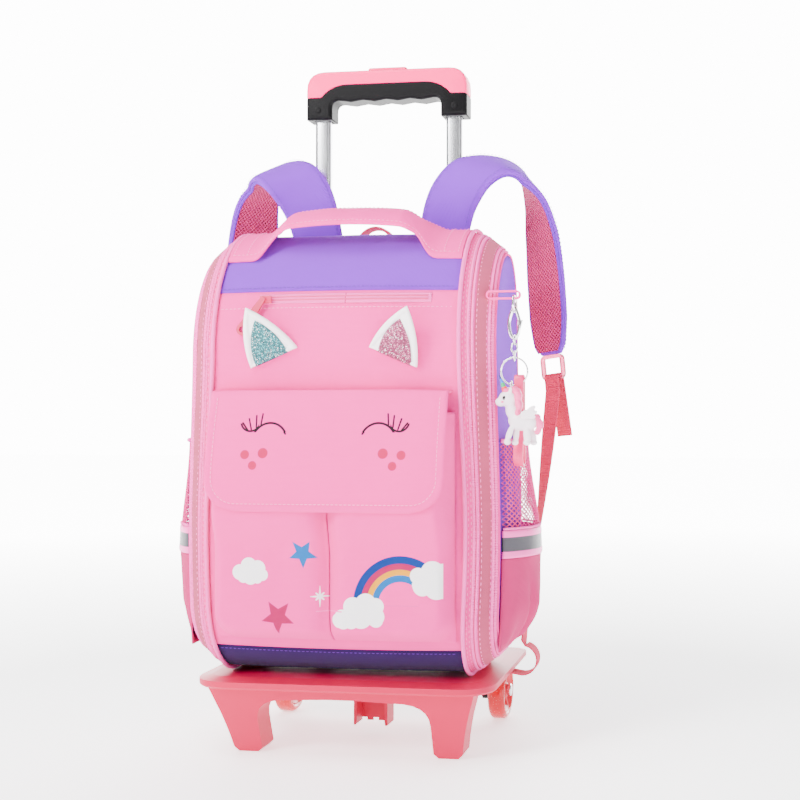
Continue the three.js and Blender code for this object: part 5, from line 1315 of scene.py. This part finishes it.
# Profiles as place along the axle and radius
WHEEL_STEPS = 72
TREAD = ((-7.5, 22.3), (7.5, 22.3), (9.5, 26), (6.6, 30), (-6.6, 30), (-9.5, 26))
HUB = ((-7.5, 3.6), (7.5, 3.6), (7.5, 7), (2.6, 9), (2.6, 17.5), (7.5, 22), (-7.5, 22), (-2.6, 17.5),
       (-2.6, 9), (-7.5, 7))
RIBS, RIB_FROM, RIB_TO, RIB_HALF, RIB_HALF_WIDTH = 6, 7.5, 20.5, 1.3, 5.4
for label, side in SIDES:
    centre = np.array((side * WHEEL_X, WHEEL_Y, WHEEL_RADIUS), float)
    body = f"wheel_{label}"
    skin(f"clear_tyre_{label}", turned_rings(rounded_profile(TREAD, 2.2, 5), centre, WHEEL_STEPS), clear_tyre,
         "tyre_rubber", f"tyre_{label}", loop=True, body=body, angle=40)
    skin(f"wheel_hub_{label}", turned_rings(rounded_profile(HUB, 0.8, 4), centre, WHEEL_STEPS), hub_plastic,
         "hub_plastic", f"hub_{label}", loop=True, body=body, angle=40)
    for rib, angle in enumerate(circle(RIBS)):
        radial = np.array((0, math.cos(angle), math.sin(angle)))
        sideways = np.array((0, -math.sin(angle), math.cos(angle)))
        rings = [[centre + radial * r + sideways * a * RIB_HALF + np.array((b * RIB_HALF_WIDTH, 0, 0))
                  for a, b in ((-1, -1), (1, -1), (1, 1), (-1, 1))] for r in (RIB_FROM, RIB_TO)]
        skin(f"hub_rib_{label}_{rib}", rings, hub_plastic, "hub_plastic", body=body, smooth=False)
dressed("axle", "axle_rod", polished, bevel=0.3)

# A screw in each arm of the grip, turned on Y: its profile is the place towards the front and the radius
SCREW_X, SCREW_Y, SCREW_Z = 74.0, 127.7, 646.0
SCREW = rounded_profile([(0, 0.01), (0, 3.0), (0.8, 3.4), (1.2, 3.4), (1.2, 0.01)], 0.2, 3)
for label, side in SIDES:
    rings = turned_rings(SCREW, 0, 28)[..., [1, 0, 2]] * (1, -1, 1) + (side * SCREW_X, SCREW_Y, SCREW_Z)
    skin(f"grip_screw_{label}", rings, black, "black_plastic", loop=True, body="handle", angle=40)

# Charm: tab, ring, clasp, chain and split ring

RING_RADIUS, RING_WIRE = 7, 1.1
CLASP_HALF, CLASP_HALF_HEIGHT, CLASP_WIRE = 5, 14, 1.6
LINK_HALF_WIDTH, LINK_HALF_HEIGHT, LINK_WIRE = 2.9, 4.2, 0.8
SPLIT_RADIUS, SPLIT_PITCH, SPLIT_WIRE = 12.5, 1.15, 0.75


def squared(v, flat):
    return np.sign(v) * np.abs(v) ** (1 - flat)


def oval(centre, half_width, half_height, wire, facing, count=64, corners=12, flat=0.0):
    """Rings of a wire oval that stands across X where it faces the front, and along Y otherwise."""
    angles = circle(count)
    a, z = half_width * squared(np.cos(angles), flat), half_height * squared(np.sin(angles), flat)
    zero = np.zeros(count)
    path = np.stack([a, zero, z] if facing else [zero, a, z], axis=1) + centre
    return tube_rings(path, wire, corners, True)


dressed("charm_tab", "charm_webbing_tab", pink_cloth, bevel=0.4)
low, high = box_mm("d_ring")
skin("charm_d_ring", oval((low + high) / 2, RING_RADIUS, RING_RADIUS, RING_WIRE, False, flat=0.35), polished,
     "steel", "d_ring", loop=True)
low, high = box_mm("lobster_clasp")
centre = (low + high) / 2
angles = circle(72)
half_width = CLASP_HALF - 1.5 * smoothstep(np.sin(angles), 0.0, 0.9)
path = np.stack([half_width * np.cos(angles), 0 * angles, CLASP_HALF_HEIGHT * np.sin(angles)], axis=1)
skin("clasp_hook", tube_rings(path + centre, CLASP_WIRE, 12, True), polished, "steel", "lobster_clasp",
     loop=True)
lever = centre + catmull([(4.6, 0, -6), (6.4, 0.4, -1), (7.4, 0.4, 3)], 14)
skin("clasp_lever", tube_rings(lever, 0.9, 8), polished, "steel")
low, high = box_mm("charm_chain")
line_x, line_y = (low + high)[:2] / 2
step = (high[2] - low[2] - 2 * LINK_HALF_HEIGHT) / 2
for i in range(3):
    at = np.array((line_x, line_y, high[2] - LINK_HALF_HEIGHT - i * step))
    rings = oval(at, LINK_HALF_WIDTH, LINK_HALF_HEIGHT, LINK_WIRE, i == 1, 40, 10)
    skin(f"chain_link_{i}", rings, polished, "steel", None if i else "charm_chain", loop=True)
low, high = box_mm("split_ring")
turns = np.linspace(0, 4 * math.pi, 130)
path = np.stack([SPLIT_RADIUS * np.cos(turns), (turns / (2 * math.pi) - 1) * SPLIT_PITCH,
                 SPLIT_RADIUS * np.sin(turns)], axis=1)
skin("split_ring_coil", tube_rings(path + (low + high) / 2, SPLIT_WIRE, 10), polished, "steel", "split_ring")

# Charm: the unicorn, placed from the front end of the post that carries its eyelet

figure_white = plastic("figure_white", srgb(0.93, 0.88, 0.91), 0.3, 0.05)
figure_pink = plastic("figure_pink", srgb(0.96, 0.30, 0.58), 0.4, 0.05)
FIGURE_REACH, FIGURE_DROP = 13.5, 55
FIGURE_OFFSET = np.array((8, 0, 0))
EYELET_RADIUS, EYELET_WIRE, EYELET_BACK = 3.4, 0.9, 16.6
POST_LENGTH, POST_RADIUS = 13.6, 1.2
low, high = box_mm("charm_figure")
figure_at = np.array((low[0] + FIGURE_REACH, line_y - EYELET_BACK, low[2] + FIGURE_DROP))

# Masses: centre, half sizes and lean about Y
BODY = (
    ((4, 0, -33), (12, 6.5, 8.5), 0.15), ((-4, 0, -24), (6, 5, 9), -0.3),
    ((-8, 0, -12.5), (8.6, 6.8, 7.4), 0), ((-14.5, 0, -15.5), (5.2, 4.6, 4.2), 0),
    ((12, 0, -34), (7, 6.2, 7), 0),
    ((-6, -3, -44), (2.8, 2.6, 9), 0.35), ((-1, 3, -45), (2.8, 2.6, 9), 0.1),
    ((10, -3.2, -45.5), (3.4, 3, 9), -0.1), ((14, 3.2, -45.5), (3.2, 2.8, 9), -0.25),
    ((-8, -3.4, -51.5), (3.2, 3, 3), 0), ((-2, 3, -52), (3.2, 3, 2.8), 0),
    ((10, -3.2, -52.2), (3.5, 3.2, 2.6), 0), ((15, 3.2, -52.2), (3.4, 3.2, 2.6), 0),
    ((-5, -4.2, -5), (1.8, 1.2, 3.4), 0.1), ((-5, 4.2, -5), (1.8, 1.2, 3.4), 0.1),
)
MANE = (
    ((-1, 0, -5.5), (5.5, 4.6, 3.8), 0.5), ((1.5, -1.5, -11), (4, 4.6, 5.2), 0.2),
    ((2.4, -1.8, -18), (3.6, 4.6, 5.4), -0.2), ((1.6, -2, -25), (3, 4.6, 4), 0.2),
    ((-9, -0.4, -5.6), (4, 4.4, 2.8), 0.2), ((18.5, 0, -30), (3.6, 3.2, 4), 0.3),
    ((21, -0.4, -35.5), (3.8, 3.2, 5), -0.3), ((19.5, -0.6, -41.5), (3, 2.8, 4.2), 0.4),
)
WING = (
    ((9, -6.2, -27), (5.2, 1.3, 4.2), -0.5), ((13.5, -6.6, -23), (6, 1.2, 2.6), -0.7),
    ((15, -6.4, -26), (5.4, 1.2, 2.2), -0.35), ((14, -6.2, -29), (4.6, 1.2, 2), 0),
)
EYES = (((-10.4, -6.1, -12), (1.6, 0.9, 2.1), 0.1), ((-10.4, 6.1, -12), (1.6, 0.9, 2.1), 0.1))
BLUSH = (((-12, -5.6, -15.6), (1.4, 0.6, 0.9), 0),)


def blob(name, masses, material, voxel, node=None):
    """Rounded masses melted into one body."""
    shell = bmesh.new()
    for middle, half_sizes, lean in masses:
        made = bmesh.ops.create_uvsphere(shell, u_segments=24, v_segments=16, radius=1)
        for vert in made["verts"]:
            x, y, z = np.array(vert.co) * half_sizes
            x, z = x * math.cos(lean) + z * math.sin(lean), -x * math.sin(lean) + z * math.cos(lean)
            vert.co = Vector((figure_at + FIGURE_OFFSET + middle + (x, y, z)) * MM + SHIFT)
    mesh = bpy.data.meshes.new(name)
    shell.to_mesh(mesh)
    shell.free()
    piece = in_scene(name, mesh)
    melt = piece.modifiers.new("melt", "REMESH")
    melt.mode = "VOXEL"
    melt.voxel_size = voxel * MM
    piece.modifiers.new("smooth", "SMOOTH").iterations = 6
    graph = bpy.context.evaluated_depsgraph_get()
    final = bpy.data.meshes.new_from_object(piece.evaluated_get(graph))
    piece.modifiers.clear()
    piece.data = final
    final.materials.clear()
    final.materials.append(material)
    final.shade_smooth()
    return settled(piece, node, "backpack")


blob("unicorn_body", BODY, figure_white, 0.7, "charm_figure")
blob("unicorn_mane", MANE, figure_pink, 0.7)
blob("unicorn_wing", WING, figure_white, 0.5)
blob("unicorn_eyes", EYES, plastic("eye_ink", INK, 0.2, 0.0), 0.25)
blob("unicorn_blush", BLUSH, figure_pink, 0.25)

HORN_COLORS = (("red", srgb(0.90, 0.16, 0.20)), ("green", srgb(0.10, 0.62, 0.36)),
               ("blue", srgb(0.16, 0.38, 0.80)), ("navy", srgb(0.10, 0.14, 0.42)))
HORN_FOOT = np.array((-10.5, 0, -5.5))
HORN_LEAN, HORN_SIDE = np.array((-0.36, 0, 0.93)), np.array((0.93, 0, 0.36))
HORN_LENGTH, HORN_RADIUS, HORN_STEPS = 15.5, 3.0, 8
for i, (color, rgb) in enumerate(HORN_COLORS):
    rings = []
    for k in range(HORN_STEPS + 1):
        share = (i + k / HORN_STEPS) / len(HORN_COLORS)
        radius = HORN_RADIUS * (1 - share * 0.9) * (0.90 + 0.14 * math.sin(math.pi * k / HORN_STEPS))
        at = figure_at + FIGURE_OFFSET + HORN_FOOT + HORN_LEAN * (HORN_LENGTH * share)
        rings.append([at + radius * (math.cos(t) * HORN_SIDE + np.array((0, math.sin(t), 0)))
                      for t in circle(16)])
    skin(f"unicorn_horn_{color}", rings, plastic(f"horn_{color}", rgb, 0.3, 0.03), "figure", angle=70)
eyelet = figure_at + (0, EYELET_BACK, 0)
rings = oval(eyelet, EYELET_RADIUS, EYELET_RADIUS, EYELET_WIRE, False, 32, 8)
skin("unicorn_eyelet", rings, polished, "figure", loop=True)
post = figure_at + np.array([(0, y, -EYELET_RADIUS) for y in np.linspace(0, POST_LENGTH, 6)])
skin("unicorn_post", tube_rings(post, POST_RADIUS, 8), figure_white, "figure")

# Charm: the silicone loop, a narrow throat with a round foot

SILICONE_LENGTH, SILICONE_HALF, SILICONE_THROAT = 84.0, 9.0, 5.0
SILICONE_HALF_WIDTH, SILICONE_WALL = 4.5, 2.2
SILICONE_SECTION = ((-1, 0.25), (-0.8, 0), (0.8, 0), (1, 0.25), (1, 0.75), (0.8, 1), (-0.8, 1), (-1, 0.75))
low, high = box_mm("charm_band")
foot = SILICONE_HALF - SILICONE_LENGTH
shoulder = foot + 2 * SILICONE_HALF
foot_turn, top_turn = np.linspace(0, math.pi / 2, 14), np.linspace(0, math.pi / 2, 10)
right_side = np.concatenate([
    np.stack([SILICONE_HALF * np.sin(foot_turn), foot - SILICONE_HALF * np.cos(foot_turn)], axis=1),
    quadratic((SILICONE_HALF, foot), (SILICONE_HALF, foot + SILICONE_HALF), (SILICONE_THROAT, shoulder),
              12)[1:],
    np.linspace((SILICONE_THROAT, shoulder), (SILICONE_THROAT, -SILICONE_THROAT), 11)[1:],
    SILICONE_THROAT * np.stack([np.cos(top_turn), np.sin(top_turn) - 1], axis=1)[1:],
])
whole = np.concatenate([right_side, (right_side * (-1, 1))[::-1][1:-1]])
tangent = unit(np.roll(whole, -1, axis=0) - np.roll(whole, 1, axis=0))
inward = np.stack([0 * whole[:, 0], -tangent[:, 1], tangent[:, 0]], axis=1)
middle_x, middle_y = (low + high)[:2] / 2
line = np.stack([0 * whole[:, 0], whole[:, 0], whole[:, 1]], axis=1) + (middle_x, middle_y, high[2])
over = np.tile((1.0, 0.0, 0.0), (len(line), 1))
silicone = plastic("silicone", srgb(0.90, 0.10, 0.42), 0.42, 0.1, Transmission_Weight=0.1)
rings = band_rings(line, over, inward, SILICONE_SECTION, SILICONE_HALF_WIDTH, SILICONE_WALL)
skin("silicone_loop", rings, silicone, "silicone", "charm_band", loop=True, angle=50)

# Threads: all the stitches of one colour are one piece

for kind, color, slot in (("purple_thread", srgb(0.32, 0.07, 0.58), "purple_cloth"),
                          ("pink_thread", srgb(0.99, 0.45, 0.74), "pink_cloth"),
                          ("white_thread", WHITE, "white_cloth")):
    thread = Look(kind, color, 0.7)
    thread.vary(90, 0.3).raise_by(thread.noise(2500))
    points, faces = stitch_sets[kind]
    build(kind, points, faces, thread.finish(), slot, smooth=False)

# Floor, light and camera, in metres

FLOOR_HALF = 8
floor_mesh = bpy.data.meshes.new("floor")
floor_corners = [(x * FLOOR_HALF, y * FLOOR_HALF, 0) for x, y in ((-1, -1), (1, -1), (1, 1), (-1, 1))]
floor_mesh.from_pydata(floor_corners, [], [(0, 1, 2, 3)])
floor = in_scene("floor", floor_mesh)
floor_look = Look("floor_white", (0.93, 0.93, 0.93, 1), 0.75)
floor_look.glow(near=1.5, far=11, inner=0.6, outer=2.4)
floor_mesh.materials.append(floor_look.finish())

# The studio is pale all round, and the part of it behind the bag is lit brighter; Y is a direction's share
ROOM_LIGHT, BACKDROP_LIGHT = 0.3, 14.0
BACKDROP_FROM, BACKDROP_FULL = 0.62, 0.79
world = bpy.data.worlds.new("studio")
world.use_nodes = True
nodes, links = world.node_tree.nodes, world.node_tree.links
sky = nodes["Background"]
sky.inputs["Color"].default_value = (1, 1, 1, 1)
way = nodes.new("ShaderNodeSeparateXYZ")
lit_side = nodes.new("ShaderNodeMapRange")
lit_side.interpolation_type = "SMOOTHSTEP"
for socket, value in (("From Min", BACKDROP_FROM), ("From Max", BACKDROP_FULL), ("To Min", ROOM_LIGHT),
                      ("To Max", BACKDROP_LIGHT)):
    lit_side.inputs[socket].default_value = value
links.new(nodes.new("ShaderNodeTexCoord").outputs["Generated"], way.inputs[0])
links.new(way.outputs["Y"], lit_side.inputs["Value"])
links.new(lit_side.outputs["Result"], sky.inputs["Strength"])
bpy.context.scene.world = world


def lamp(name, place, target, size, power):
    data = bpy.data.lights.new(name, "AREA")
    data.shape = "DISK"
    data.size = size
    data.energy = power
    light = in_scene(name, data)
    light.location = place
    light.rotation_euler = (Vector(target) - Vector(place)).to_track_quat("-Z", "Y").to_euler()


lamp("key", (-1.3, -1.9, 1.7), (0, 0, 0.3), 1.0, 112)
lamp("fill", (1.7, -1.5, 0.9), (0, 0, 0.3), 1.6, 5)
lamp("top", (-0.5, -0.7, 2.3), (0, 0, 0.35), 1.2, 75)

# The camera looks level and turns off the front; the shift puts the bag where the photograph has it
CAMERA_AT = np.array((361.0, -1112.7, 322.6))
CAMERA_TURN = math.radians(8.052)
camera_data = bpy.data.cameras.new("camera")
camera_data.lens = 54.66
camera_data.sensor_width = 36
camera_data.shift_x = -0.2
camera_data.shift_y = 0.01875
camera_data.clip_start = 0.05
camera_data.clip_end = 50
camera = in_scene("camera", camera_data)
camera.location = CAMERA_AT * MM + SHIFT
ahead = Vector((-math.sin(CAMERA_TURN), math.cos(CAMERA_TURN), 0))
camera.rotation_euler = ahead.to_track_quat("-Z", "Y").to_euler()
bpy.context.scene.camera = camera
